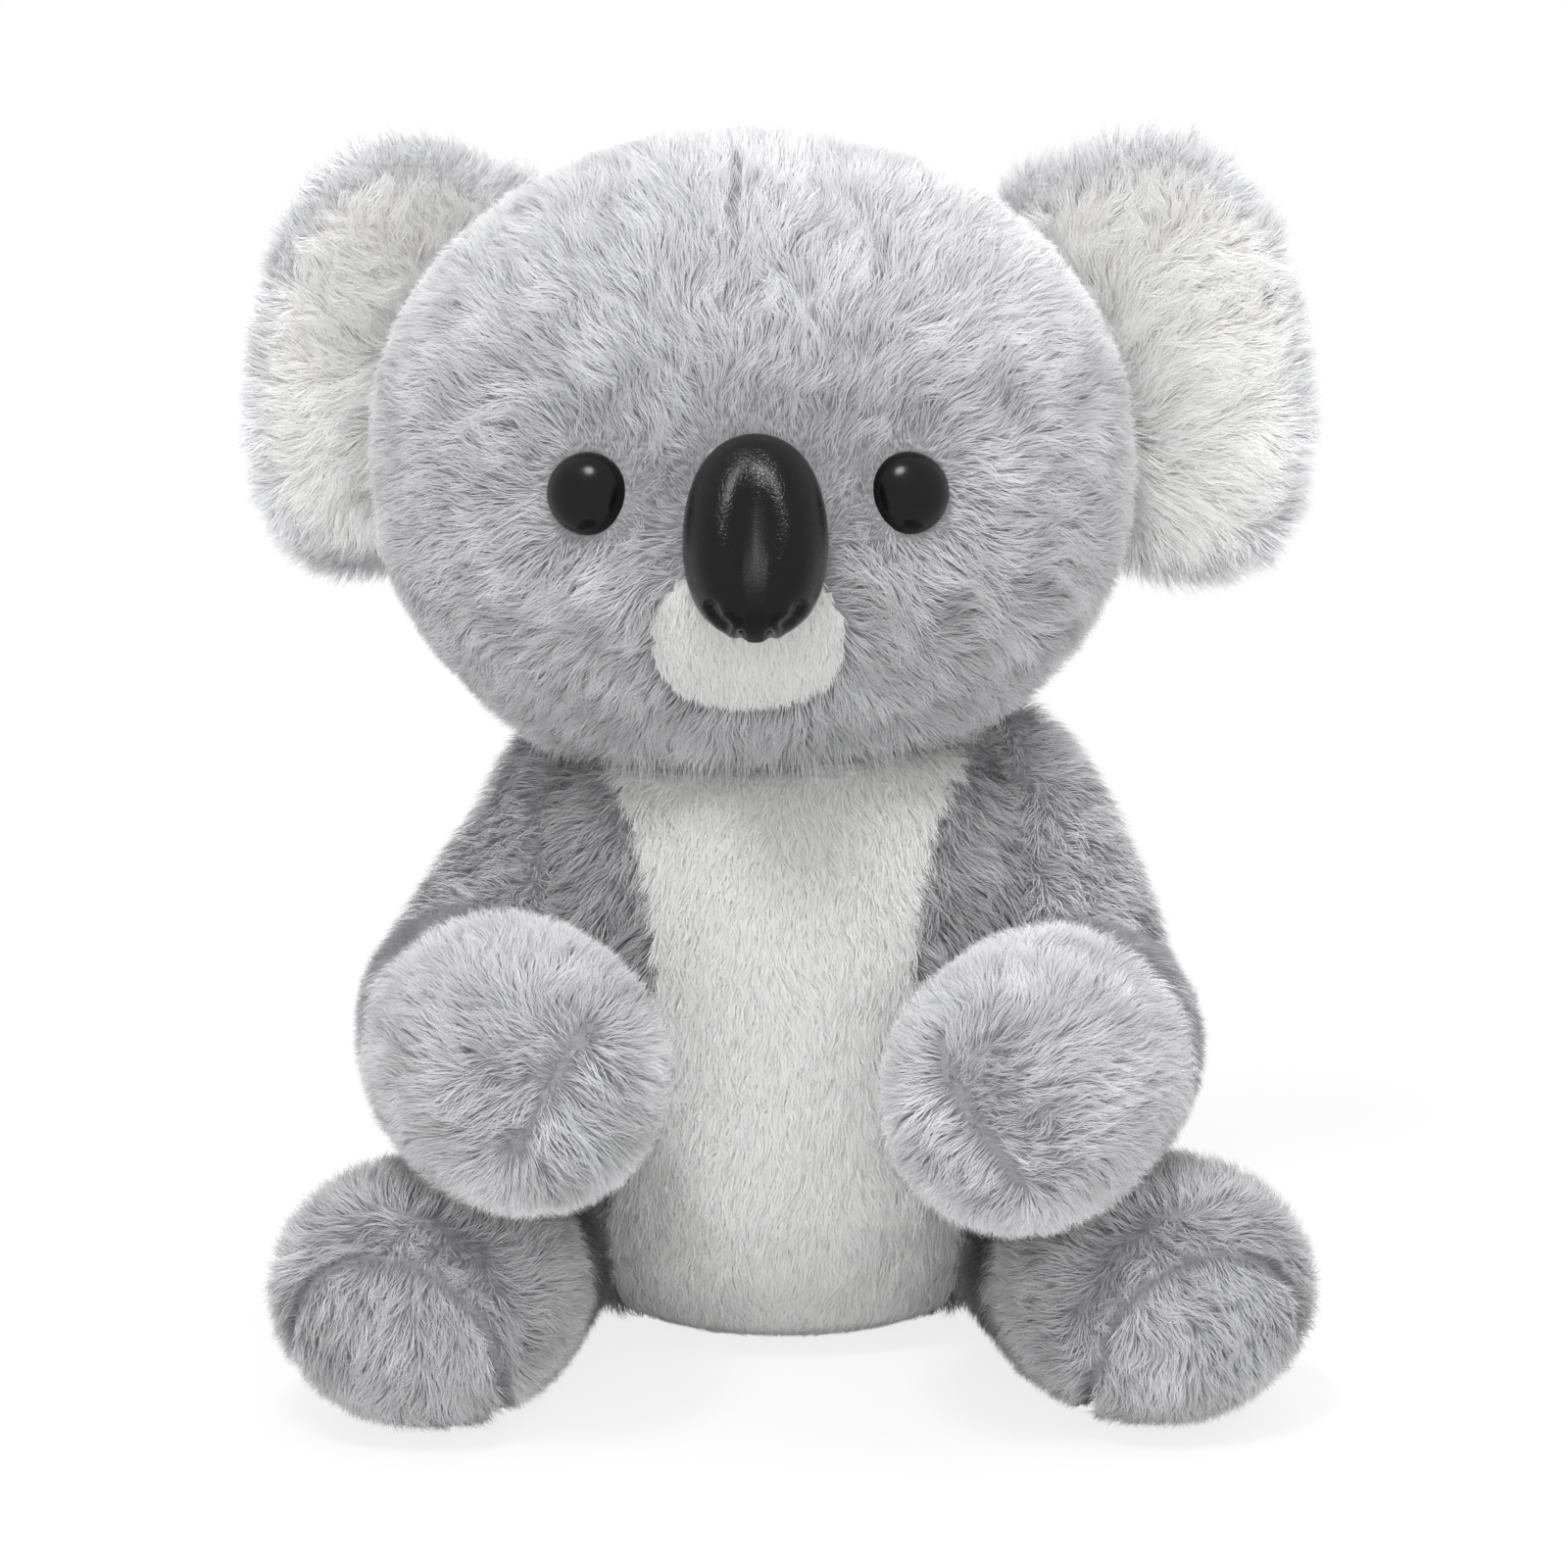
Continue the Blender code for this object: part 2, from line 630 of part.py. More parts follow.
def make_arm(side):
    """The arm's cover and stuffing, cut free of the torso and the head at every lift."""
    cover = arm_form("arm_cover_" + side, side)
    hollow = arm_form("hollow", side, CLOTH, LIMB_INNER)
    carve(cover, hollow)
    filling = stuffing_for(hollow, "arm_stuffing_" + side)
    drop(hollow)
    place, axis = shoulder(side)
    for k in range(ARM_STEPS + 1):
        room = 1 - ARM_ROOM_SHARE * k / ARM_STEPS
        keep_out = torso_form("keep out", -LIMB_ROOM * room)
        head_out = head_form("head out", -NECK_ROOM * room)
        lift = ARM_LIFT[side] + ARM_RANGE[side] * k / ARM_STEPS
        for piece in (cover, filling):
            turned(piece, lift, axis, place)
            carve(piece, keep_out)
            carve(piece, head_out)
            turned(piece, -lift, axis, place)
        drop(keep_out, head_out)
    for piece in (cover, filling):
        turned(piece, ARM_LIFT[side], axis, place)
    return cover, filling


# Legs


def leg_way(side):
    angle = LEG_DIRECTION[side]
    return mirrored((math.sin(angle), -math.cos(angle), 0), side)


def leg_points(side):
    start = mirrored((HIP_OUT[side], HIP_BACK, 0), side)
    way = leg_way(side)
    heights = [LEG_RADIUS + FLAT * 2, LEG_RADIUS + FLAT * 2, LEG_RADIUS + FLAT, LEG_RADIUS]
    heights += [FOOT_HALF_HEIGHT - FLAT, FOOT_HALF_HEIGHT]
    return [
        start + way * LEG_LENGTH * k / 5 + Vector((0, 0, height))
        for k, height in enumerate(heights)
    ]


def leg_form(name, side, inset=0.0, detail=(16, 11)):
    radii = [LEG_RADIUS * share for share in LEG_RADIUS_SHARES]
    wide = [r + (FOOT_HALF_WIDTH - LEG_RADIUS) * f for r, f in zip(radii, FOOT_SHARES)]
    tall = [r + (FOOT_HALF_HEIGHT - LEG_RADIUS) * f for r, f in zip(radii, FOOT_SHARES)]
    return stuffed(name, leg_points(side), wide, tall, (2.6, 3.0), inset, detail)


def make_leg(side, keep_out, floor):
    cover = leg_form("leg_cover_" + side, side)
    hollow = leg_form("hollow", side, CLOTH, LIMB_INNER)
    carve(cover, hollow)
    filling = stuffing_for(hollow, "leg_stuffing_" + side)
    drop(hollow)
    carve(cover, keep_out)
    carve(cover, floor)
    end = leg_points(side)[-1]
    way = leg_way(side)

    def sole_cutter(grow):
        centre = end - Vector((0, 0, SOLE_DROP))
        return rod(
            "sole cutter", centre - way * SOLE_RADIUS, centre + way * OVERRUN, SOLE_RADIUS + grow, 20
        )

    sole = split_panel(cover, "sole_panel_" + side, sole_cutter)
    carve(filling, keep_out)
    return cover, sole, filling


# Whole toy


def belly_outline(grow):
    """The belly panel seen from the front, from under the seat to above the neck."""
    count = len(BELLY_HALF_WIDTHS) - 1
    low, high = 0.0, TORSO_HEIGHT
    steps = 20
    side = []
    for k in range(steps + 1):
        half = eased(BELLY_HALF_WIDTHS, k / steps) + grow
        side.append((half, low + (high - low) * k / steps))
    side = [(side[0][0], low + FLAT * 4 + grow * -1)] + side[1:] + [(side[-1][0], high + OVERRUN)]
    return side + [(-x, z) for x, z in reversed(side)]


def make_torso(floor):
    cover = torso_form("torso_cover")
    hollow = torso_form("hollow", CLOTH, TRUNK_INNER)
    carve(cover, hollow)
    filling = stuffing_for(hollow, "torso_stuffing")
    inside = stuffing_for(hollow, "inside")
    drop(hollow)
    carve(cover, floor)
    neck_room = ball("neck room", NECK, [NECK_RADIUS + NECK_PLAY] * 3, *NECK_DETAIL)
    carve(cover, neck_room)

    def belly_cutter(grow):
        return outline_prism("belly cutter", belly_outline(grow), -OVERRUN, -TORSO_HALF_DEPTH / 3)

    belly = split_panel(cover, "belly_panel", belly_cutter)
    carve(filling, neck_room)
    centre = (0, 0, CLOTH + BAG_HEIGHT / 3)
    bag = ball("pellet_bag", centre, (BAG_HALF_WIDTH, BAG_HALF_DEPTH, BAG_HEIGHT * 0.6), 16, 10)
    room_radii = (BAG_HALF_WIDTH + GAP, BAG_HALF_DEPTH + GAP, BAG_HEIGHT * 0.6 + GAP)
    bag_room = ball("bag room", centre, room_radii, 16, 10)
    carve(bag, inside, "INTERSECT")
    carve(filling, bag_room)
    drop(neck_room, bag_room, inside)
    return cover, belly, filling, bag


def make_head():
    cover = head_form("head_cover")
    hollow = head_form("hollow", CLOTH, TRUNK_INNER)
    carve(cover, hollow)
    filling = stuffing_for(hollow, "head_stuffing")
    drop(hollow)
    neck_room = ball("neck room", NECK, [NECK_RADIUS + NECK_PLAY] * 3, *NECK_DETAIL)
    carve(cover, neck_room)
    carve(filling, neck_room)
    drop(neck_room)

    def muzzle_cutter(grow):
        top = HEAD_BOTTOM + HEAD_HEIGHT * MUZZLE_PANEL_TOP_SHARE
        outline = []
        steps = 28
        for k in range(steps):
            angle = math.tau * k / steps
            c, s = math.cos(angle), math.sin(angle)
            x = (MUZZLE_PANEL_HALF_WIDTH + grow) * math.copysign(abs(c) ** 0.7, c)
            z = (MUZZLE_PANEL_HEIGHT / 2 + grow) * math.copysign(abs(s) ** 0.8, s)
            outline.append((HEAD_X + x, top - MUZZLE_PANEL_HEIGHT / 2 + z))
        return outline_prism("muzzle cutter", outline, -OVERRUN, -HEAD_DEPTH / 4)

    return cover, filling, muzzle_cutter


def finish(thing, group, origin, colour_name, colour, roughness, parent):
    """Give a piece its place in the file, its origin, its material and its parent."""
    origin = Vector(origin)
    thing.data.transform(Matrix.Translation(-origin))
    thing.location = origin
    thing.data.materials.clear()
    thing.data.materials.append(plain_material(colour_name, colour, roughness))
    thing.data.shade_smooth()
    thing.data.set_sharp_from_angle(angle=math.radians(50))
    for home in list(thing.users_collection):
        home.objects.unlink(thing)
    group.objects.link(thing)
    if parent:
        thing.parent = parent
        thing.location = origin - parent.matrix_world.translation


def hinge_empty(name, place, parent=None):
    """An empty on a joint's axis, which carries the pieces that move with it."""
    empty = bpy.data.objects.new(name, None)
    bpy.context.scene.collection.objects.link(empty)
    empty.empty_display_size = GAP
    empty.location = place
    if parent:
        empty.parent = parent
        empty.location = Vector(place) - parent.matrix_world.translation
    bpy.context.view_layer.update()
    return empty


def build():
    empty_the_scene()
    group = bpy.data.collections.new("plush_koala")
    bpy.context.scene.collection.children.link(group)
    floor = block("floor", (-OVERRUN * 2, -OVERRUN * 2, -OVERRUN), (OVERRUN * 2, OVERRUN * 2, 0))
    keep_out = torso_form("keep out", -LIMB_ROOM)

    fur = ("grey fur fabric", GREY_FUR, 0.95)
    white = ("white fur fabric", WHITE_FUR, 0.95)
    wadding = ("polyester stuffing", WADDING, 1.0)
    black = ("black plastic", BLACK_PLASTIC, 0.18)
    clear = ("clear plastic", CLEAR_PLASTIC, 0.4)
    cotton = ("cotton cloth", COTTON, 0.95)

    # Torso
    seat = (0, 0, 0)
    cover, belly, filling, bag = make_torso(floor)
    for thing, finish_of in ((cover, fur), (belly, white), (filling, wadding), (bag, cotton)):
        finish(thing, group, seat, *finish_of, None)

    # Neck and head
    turn = hinge_empty("neck turn axis", NECK)
    neck = ball("neck_stuffing", NECK, [NECK_RADIUS] * 3, *NECK_DETAIL)
    finish(neck, group, NECK, *wadding, turn)
    nod = hinge_empty("neck nod axis", NECK, turn)
    head, head_fill, muzzle_cutter = make_head()
    probe = head_form("probe")
    bpy.context.view_layer.update()
    nose = make_nose(probe, head, head_fill)
    eyes = [make_eye(side, probe, head, head_fill) for side in SIDES]
    drop(probe)
    ears = {side: make_ear(side, head, head_fill) for side in SIDES}
    muzzle = split_panel(head, "muzzle_panel", muzzle_cutter)
    washers = [bpy.data.objects["nose_washer"]]
    washers += [bpy.data.objects["eye_washer_" + side] for side in SIDES]
    for thing, finish_of in ((head, fur), (muzzle, white), (head_fill, wadding), (nose, black)):
        finish(thing, group, NECK, *finish_of, nod)
    for thing in eyes:
        finish(thing, group, NECK, *black, nod)
    for thing in washers:
        finish(thing, group, NECK, *clear, nod)
    for side, (pieces, frame) in ears.items():
        root = frame.translation
        axis = hinge_empty("ear root axis " + side, root, nod)
        for thing, finish_of in zip(pieces, (fur, white, wadding)):
            finish(thing, group, root, *finish_of, axis)
        print("ear", side, "root", tuple(root), "axis", tuple(frame.to_3x3() @ Vector((0, 0, 1))))

    # Arms and legs
    for side in SIDES:
        place, axis = shoulder(side)
        print("shoulder", side, tuple(place), "axis", tuple(axis))
        hinge = hinge_empty("shoulder axis " + side, place)
        for thing, finish_of in zip(make_arm(side), (fur, wadding)):
            finish(thing, group, place, *finish_of, hinge)
        hip = mirrored((HIP_HINGE_OUT, HIP_HINGE_BACK, LEG_RADIUS), side)
        hinge = hinge_empty("hip axis " + side, hip)
        for thing, finish_of in zip(make_leg(side, keep_out, floor), (fur, fur, wadding)):
            finish(thing, group, hip, *finish_of, hinge)
        print("hip", side, tuple(hip))
    drop(floor, keep_out)
    print("neck", tuple(NECK))


build()
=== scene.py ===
# %% [markdown]
# # A seated plush koala, dressed over its CAD frame
#
# The packed model gives the frame: covers, panels, stuffing, nose, eyes and washers, each on
# the body that it moves with. This lesson dresses that frame. The covers get cloth with real
# pile on it, the nose and the eyes get their moulded shapes, and the inner pieces get wadding,
# cotton and plastic finishes. Everything is in metres and in the frame of the CAD.

import math

import bmesh
import bpy
import numpy as np
from mathutils import Matrix, Vector
from mathutils.bvhtree import BVHTree
from mathutils.kdtree import KDTree


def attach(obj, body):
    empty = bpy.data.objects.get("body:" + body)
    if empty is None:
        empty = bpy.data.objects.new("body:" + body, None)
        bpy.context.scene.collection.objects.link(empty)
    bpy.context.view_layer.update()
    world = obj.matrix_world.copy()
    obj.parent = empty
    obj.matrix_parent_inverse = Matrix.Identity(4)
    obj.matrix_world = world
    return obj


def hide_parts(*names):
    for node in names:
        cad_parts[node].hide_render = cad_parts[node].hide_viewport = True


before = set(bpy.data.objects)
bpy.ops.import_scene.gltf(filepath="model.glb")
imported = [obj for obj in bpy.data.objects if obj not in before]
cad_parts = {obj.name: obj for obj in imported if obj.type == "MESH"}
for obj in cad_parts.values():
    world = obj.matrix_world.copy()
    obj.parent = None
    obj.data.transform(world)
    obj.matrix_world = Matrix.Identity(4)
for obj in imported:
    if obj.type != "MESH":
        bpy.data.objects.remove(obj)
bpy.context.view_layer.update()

# %% [markdown]
# ## Camera
#
# The photograph looks at the toy from a little above its middle, through a long lens, so its
# limbs hardly grow towards the camera. The camera's place was worked out from the eyes, which
# are 14 mm buttons. A script could also aim the camera with a constraint. A plain rotation is
# enough here, because nothing moves.

# %% Camera
FOCUS = Vector((0.0, -0.030, 0.1020))
DISTANCE = 0.78
CAMERA_HEIGHT = math.radians(11)
SEEN_WIDTH = 0.2720
IMAGE = 1600

camera_data = bpy.data.cameras.new("photo camera")
camera_data.sensor_width = 36
camera_data.lens = 36 * DISTANCE / SEEN_WIDTH
camera = bpy.data.objects.new("photo camera", camera_data)
bpy.context.scene.collection.objects.link(camera)
backwards = Vector((0, -math.cos(CAMERA_HEIGHT), math.sin(CAMERA_HEIGHT)))
camera.location = FOCUS + backwards * DISTANCE
camera.rotation_euler = backwards.to_track_quat("Z", "Y").to_euler()
bpy.context.scene.camera = camera
print("lens", round(camera_data.lens, 1), "mm")


# %% A place in the picture as a line of sight
def sight_line(across, down):
    """Where the camera is, and the way it looks through a pixel of the 1600 px image."""
    share = SEEN_WIDTH / DISTANCE / IMAGE
    way = Vector(((across - IMAGE / 2) * share, -(down - IMAGE / 2) * share, -1))
    return camera.location, (camera.rotation_euler.to_matrix() @ way).normalized()


print("the middle of the image looks along", [round(v, 3) for v in sight_line(800, 800)[1]])

# %% [markdown]
# ## Shader maths as Python
#
# A material is a graph of nodes, and long graphs are hard to read. Here one small class wraps
# an output socket and understands + - and *, with numbers on either side, so that a mask can be
# written as an expression. Any other node comes from its one method, node.


# %% A socket that can be calculated with
class Wire:
    """An output socket. Numbers go through Math nodes and vectors through Vector Math."""

    def __init__(self, tree, socket):
        self.tree = tree
        self.socket = socket

    def node(self, kind, settings=None, inputs=None, output=0):
        """Another node in the same tree: its type, its settings, then its sockets."""
        made = self.tree.nodes.new(kind)
        for name, value in (settings or {}).items():
            setattr(made, name, value)
        for name, value in (inputs or {}).items():
            if isinstance(value, Wire):
                self.tree.links.new(value.socket, made.inputs[name])
            else:
                made.inputs[name].default_value = value
        return Wire(self.tree, made.outputs[output])

    def other(self, output):
        """Another output of the node that this one comes from."""
        return Wire(self.tree, self.socket.node.outputs[output])

    def sum(self, operation, first, second=None):
        """One Math node, or one Vector Math node where a vector takes part."""
        parts = [part for part in (first, second) if part is not None]
        vector = any(isinstance(p, Wire) and p.socket.type == "VECTOR" for p in parts)
        kind = "ShaderNodeVectorMath" if vector else "ShaderNodeMath"
        return self.node(kind, {"operation": operation}, dict(enumerate(parts)))

    def __add__(self, other):
        return self.sum("ADD", self, other)

    __radd__ = __add__

    def __mul__(self, other):
        return self.sum("MULTIPLY", self, other)

    __rmul__ = __mul__

    def __sub__(self, other):
        return self.sum("SUBTRACT", self, other)

    def __rsub__(self, other):
        return self.sum("SUBTRACT", other, self)

    def between(self, low, high):
        """0 below low, 1 above high, and smooth in between."""
        settings = {"interpolation_type": "SMOOTHSTEP"}
        return self.node("ShaderNodeMapRange", settings, {0: self, 1: low, 2: high})

    def blend(self, first, second):
        """The first colour where this is 0, and the second where it is 1."""
        settings = {"data_type": "RGBA"}
        sockets = {0: self, 6: rgba(first), 7: rgba(second)}
        return self.node("ShaderNodeMix", settings, sockets, 2)

    def bump(self, depth):
        """A normal for a surface of this height, which is from 0 to 1, by depth metres."""
        return self.node("ShaderNodeBump", None, {"Distance": depth, "Height": self})


def rgba(colour):
    return colour if isinstance(colour, Wire) else (*colour[:3], 1)


print("Wire has", sum(name.startswith("__r") for name in vars(Wire)), "reflected forms")


# %% A new material
def new_material(name, **plain):
    """A Principled material with these plain values, its surface coordinates, and its shader."""
    material = bpy.data.materials.new(name)
    material.use_nodes = True
    tree = material.node_tree
    shader = tree.nodes["Principled BSDF"]
    for socket, value in plain.items():
        shader.inputs[socket.replace("_", " ")].default_value = value
    start = Wire(tree, tree.nodes.new("ShaderNodeTexCoord").outputs["Object"])
    return material, start, shader


def feed(shader, **wires):
    """Join wires to the shader's sockets."""
    for socket, wire in wires.items():
        wire.tree.links.new(wire.socket, shader.inputs[socket.replace("_", " ")])


def noise(where, scale, detail=2.0, distortion=0.0):
    """Soft clouds, from 0 to 1."""
    inputs = {"Vector": where, "Scale": scale, "Detail": detail, "Distortion": distortion}
    return where.node("ShaderNodeTexNoise", None, inputs)


def bands(where, direction, scale, distortion=0.0):
    """Rows that follow each other along X, Y or Z, from 0 to 1."""
    inputs = {"Vector": where, "Scale": scale, "Distortion": distortion}
    return where.node("ShaderNodeTexWave", {"bands_direction": direction}, inputs, 1)


print("helpers", [helper.__name__ for helper in (new_material, feed, noise, bands)])

# %% [markdown]
# ## Pile colour
#
# Plush pile is dyed one colour, but it never looks like one: the ground between the hairs is in
# shade, the tips catch the light, and some tufts are paler than others. Each hair carries
# two numbers in its UV map: u is its tone, from dark to pale, and v runs from root to tip. The
# colour is worked out from those two alone, so a baked picture of it stays right. Its darker
# roots are painted shade and its paler tips are painted light.


# %% Pile materials
def pile_material(name, root, body, tip, spread):
    """Pile coloured from painted shade at the root to painted light at the tip. Its palest hairs
    are spread brighter than its darkest.
    """
    material, start, shader = new_material(name, Roughness=0.85, Specular_IOR_Level=0.12)
    where = start.node("ShaderNodeUVMap", {"uv_map": "OFBake"})
    tone = where.node("ShaderNodeSeparateXYZ", None, {0: where})
    along = tone.other(1)
    low = along.between(0.0, 0.55).blend(root, body)
    high = along.between(0.45, 1.0).blend(low, tip)
    level = tone * spread + (1 - spread / 2)
    grey = level.node("ShaderNodeCombineXYZ", None, {0: level, 1: level, 2: level})
    colour = high.node("ShaderNodeVectorMath", {"operation": "MULTIPLY"}, {0: high, 1: grey})
    feed(shader, Base_Color=colour)
    return material


# The ear backs' grey is paler than the head's, and the linings' white is paler than the belly's:
# painted light on the ears.
PILES = {
    "grey": ((0.38, 0.38, 0.39), (0.54, 0.54, 0.55), (0.64, 0.64, 0.65), 0.90),
    "painted light grey": ((0.66, 0.66, 0.67), (0.84, 0.84, 0.85), (0.92, 0.92, 0.93), 0.14),
    "white": ((0.77, 0.77, 0.76), (0.82, 0.82, 0.813), (0.85, 0.85, 0.843), 0.03),
    "ear": ((0.90, 0.892, 0.88), (0.96, 0.957, 0.95), (0.98, 0.978, 0.974), 0.03),
}
piles = {name: pile_material(name + " pile", *values) for name, values in PILES.items()}
print("pile materials", *piles)

# %% [markdown]
# ## Cloth under the pile
#
# The pile stands on a knitted backing. It shows only where the pile parts, as a darker, finely
# ribbed ground; the grey backing's extra darkness is painted shade in the partings. A woven
# picture could be mapped on it, but rows of loops from a wave texture need no unwrapping.


# %% Cloth materials
def backing_material(name, colour):
    """Knitted rows, with darker stitches between them."""
    material, start, shader = new_material(name, Roughness=0.95, Specular_IOR_Level=0.1)
    shade = bands(start, "Z", 260.0, 3.0) * 0.3 + noise(start, 140.0, 4.0) * 0.7
    dark = tuple(value * 0.75 for value in colour)
    feed(shader, Base_Color=shade.blend(dark, colour), Normal=shade.bump(0.0004))
    return material


# The grey backing is darker than its pile's roots: painted shade in the partings and seams.
BACKINGS = {
    "grey": (0.30, 0.30, 0.31),
    "painted light grey": (0.60, 0.60, 0.61),
    "white": (0.82, 0.82, 0.81),
    "ear": (0.78, 0.76, 0.74),
}
backings = {name: backing_material(name + " backing", shade) for name, shade in BACKINGS.items()}
print("cloth materials", *backings)

# %% [markdown]
# ## Inner materials
#
# Inside are polyester wadding, a cotton bag of pellets and clear plastic lock washers. They
# are never seen in a whole toy, but someone who opens it finds them.


# %% Wadding, cotton and washer plastic
def wadding_material():
    """Loose fibres, with painted light where they stand up and painted shade between them."""
    material, start, shader = new_material("wadding", Roughness=0.95, Specular_IOR_Level=0.1)
    strands = noise(start, 420.0, 6.0, 2.5)
    colour = strands.between(0.3, 0.7).blend((0.74, 0.74, 0.73), (0.93, 0.93, 0.92))
    feed(shader, Base_Color=colour, Normal=strands.bump(0.0012))
    return material


def cotton_material():
    """A plain weave: threads one way, crossed by threads the other way."""
    material, start, shader = new_material("bag cotton", Roughness=0.9, Specular_IOR_Level=0.15)
    weave = bands(start, "X", 500.0) * bands(start, "Z", 500.0)
    colour = weave.blend((0.52, 0.47, 0.38), (0.72, 0.66, 0.55))
    feed(shader, Base_Color=colour, Normal=weave.bump(0.0003))
    return material


def washer_material():
    """Milky plastic with faint flow marks."""
    material, start, shader = new_material("washer plastic", Roughness=0.35, IOR=1.49)
    flow = noise(start, 90.0, 3.0)
    colour = flow.blend((0.70, 0.70, 0.68), (0.84, 0.84, 0.82))
    feed(shader, Base_Color=colour, Normal=flow.bump(0.0001))
    return material


wadding, cotton, washer_plastic = wadding_material(), cotton_material(), washer_material()
print("inner materials", wadding.name, cotton.name, washer_plastic.name)

# %% [markdown]
# ## Skins
#
# Each stuffed piece of the frame is a thin shell with a cut edge, so hair can't be planted on
# it as it is. A voxel remesh of the shells and the stuffing of one body gives one closed skin
# of even faces, and a little smoothing takes the facets off. The skin is then parted again by
# the panel that lies nearest, so that each panel of cloth is still its own piece.


# %% Shapes of the frame's nodes
def welded(node, grow=0.0):
    """A node's faces with shared corners, moved out by grow."""
    bm = bmesh.new()
    bm.from_mesh(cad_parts[node].data)
    bmesh.ops.remove_doubles(bm, verts=bm.verts, dist=1e-6)
    bm.normal_update()
    if grow:
        moves = [vert.normal * grow for vert in bm.verts]
        for vert, move in zip(bm.verts, moves):
            vert.co += move
    return bm


def add_piece(name, mesh, material):
    """An object of the scene with this mesh and material."""
    piece = bpy.data.objects.new(name, mesh)
    mesh.materials.clear()
    mesh.materials.append(material)
    bpy.context.scene.collection.objects.link(piece)
    return piece


print("the head's cover has", len(welded("head_cover").verts), "corners")


# %% One closed skin
FILLING_SWELL = 0.0009  # closes the gap between the stuffing and the cloth


def closed_skin(name, shells, fillings, voxel, rounds, grow):
    """Shells and fillings joined, remeshed and smoothed into one closed mesh."""
    joined = bpy.data.meshes.new(name)
    together = bmesh.new()
    for node, swell in [(n, 0.0) for n in shells] + [(n, FILLING_SWELL) for n in fillings]:
        part = welded(node, swell)
        part.to_mesh(joined)
        together.from_mesh(joined)
        part.free()
    together.to_mesh(joined)
    together.free()
    holder = bpy.data.objects.new(name, joined)
    bpy.context.scene.collection.objects.link(holder)
    remesh = holder.modifiers.new("voxels", "REMESH")
    remesh.mode = "VOXEL"
    remesh.voxel_size = voxel
    smooth = holder.modifiers.new("smooth", "SMOOTH")
    smooth.factor = 0.5
    smooth.iterations = rounds
    bpy.context.view_layer.update()
    seen = holder.evaluated_get(bpy.context.evaluated_depsgraph_get())
    bm = bmesh.new()
    bm.from_mesh(seen.to_mesh())
    bpy.data.objects.remove(holder)
    bmesh.ops.triangulate(bm, faces=bm.faces)
    bm.normal_update()
    for vert, move in [(v, v.normal * grow) for v in bm.verts]:
        vert.co += move
    for vert in bm.verts:
        vert.co.z = max(vert.co.z, 0.0)
    bm.normal_update()
    return bm


SKINS = {
    "torso": (("torso_cover", "belly_panel"), ("torso_stuffing",), 0.0022),
    "head": (("head_cover", "muzzle_panel"), ("head_stuffing",), 0.0022),
}
for side in ("left", "right"):
    ear, sole = ("ear_back_" + side, "ear_lining_" + side), "sole_panel_" + side
    SKINS["ear_" + side] = (ear, ("ear_stuffing_" + side,), 0.0015)
    SKINS["arm_" + side] = (("arm_cover_" + side,), ("arm_stuffing_" + side,), 0.0019)
    SKINS["leg_" + side] = (("leg_cover_" + side, sole), ("leg_stuffing_" + side,), 0.0019)
skins = {}
for body, (shells, fillings, voxel) in SKINS.items():
    skins[body] = closed_skin(body, shells, fillings, voxel, 8, 0.0004)
    volume = round(skins[body].calc_volume() * 1e6)
    print(body, "skin", len(skins[body].faces), "faces", volume, "ml")


# %% Skins parted into panels
COLOURS = {node: "grey" for shells, _, _ in SKINS.values() for node in shells}
COLOURS |= {"belly_panel": "white", "muzzle_panel": "white"}
for side in ("left", "right"):
    # The ear backs' paler grey is painted light on the ears' rims.
    COLOURS |= {"ear_lining_" + side: "ear", "ear_back_" + side: "painted light grey"}


def panel_faces(body):
    """Which panel each face of a skin belongs to: the nearest of the body's shells."""
    shells = SKINS[body][0]
    covers = [welded(node) for node in shells]
    trees = [BVHTree.FromBMesh(cover) for cover in covers]
    found = {node: [] for node in shells}
    for face in skins[body].faces:
        middle = face.calc_center_median()
        gaps = [tree.find_nearest(middle)[3] for tree in trees]
        found[shells[gaps.index(min(gaps))]].append(face.index)
    return found


cloths = {}
for body, bm in skins.items():
    bm.verts.ensure_lookup_table()
    bm.faces.ensure_lookup_table()
    bm.faces.index_update()
    for node, faces in panel_faces(body).items():
        corners = sorted({v.index for i in faces for v in bm.faces[i].verts})
        place = {index: k for k, index in enumerate(corners)}
        mesh = bpy.data.meshes.new(node + "_cloth")
        triangles = [[place[v.index] for v in bm.faces[i].verts] for i in faces]
        mesh.from_pydata([bm.verts[i].co for i in corners], [], triangles)
        piece = add_piece(node + "_cloth", mesh, backings[COLOURS[node]])
        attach(piece, body)
        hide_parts(node)
        places = np.array([bm.verts[i].co for i in corners])
        normals = np.array([bm.verts[i].normal for i in corners])
        cloths[node] = (body, places, np.array(triangles), normals)
        print(node, "cloth", len(triangles), "faces")

# %% [markdown]
# ## Nose and eyes
#
# The nose is one hard moulding with a leather grain: an egg with a shallow hollow down its
# middle, two comma-shaped nostrils and a small prong between them. The eyes are glossy domes.
# Each is a button with a stem through the cloth, and the stem's end ring tells where it sits.


# %% Where a button sits
STEM_LENGTH = 0.0145


def button_seat(node):
    """The point on the cloth where a button's stem goes in, and the way it faces."""
    button = welded(node)
    corners = np.array([vert.co[:] for vert in button.verts])
    ring = corners[corners[:, 1] > corners[:, 1].max() - 0.003]
    middle = ring.mean(axis=0)
    outwards = Vector(np.linalg.svd(ring - middle)[2][2]).normalized()
    if outwards.y > 0:
        outwards.negate()
    return Vector(middle) + outwards * STEM_LENGTH, outwards


seats = {node: button_seat(node) for node in ("nose", "eye_left", "eye_right")}
for node, (place, way) in seats.items():
    print(node, [round(v * 1000, 1) for v in place], [round(v, 2) for v in way])


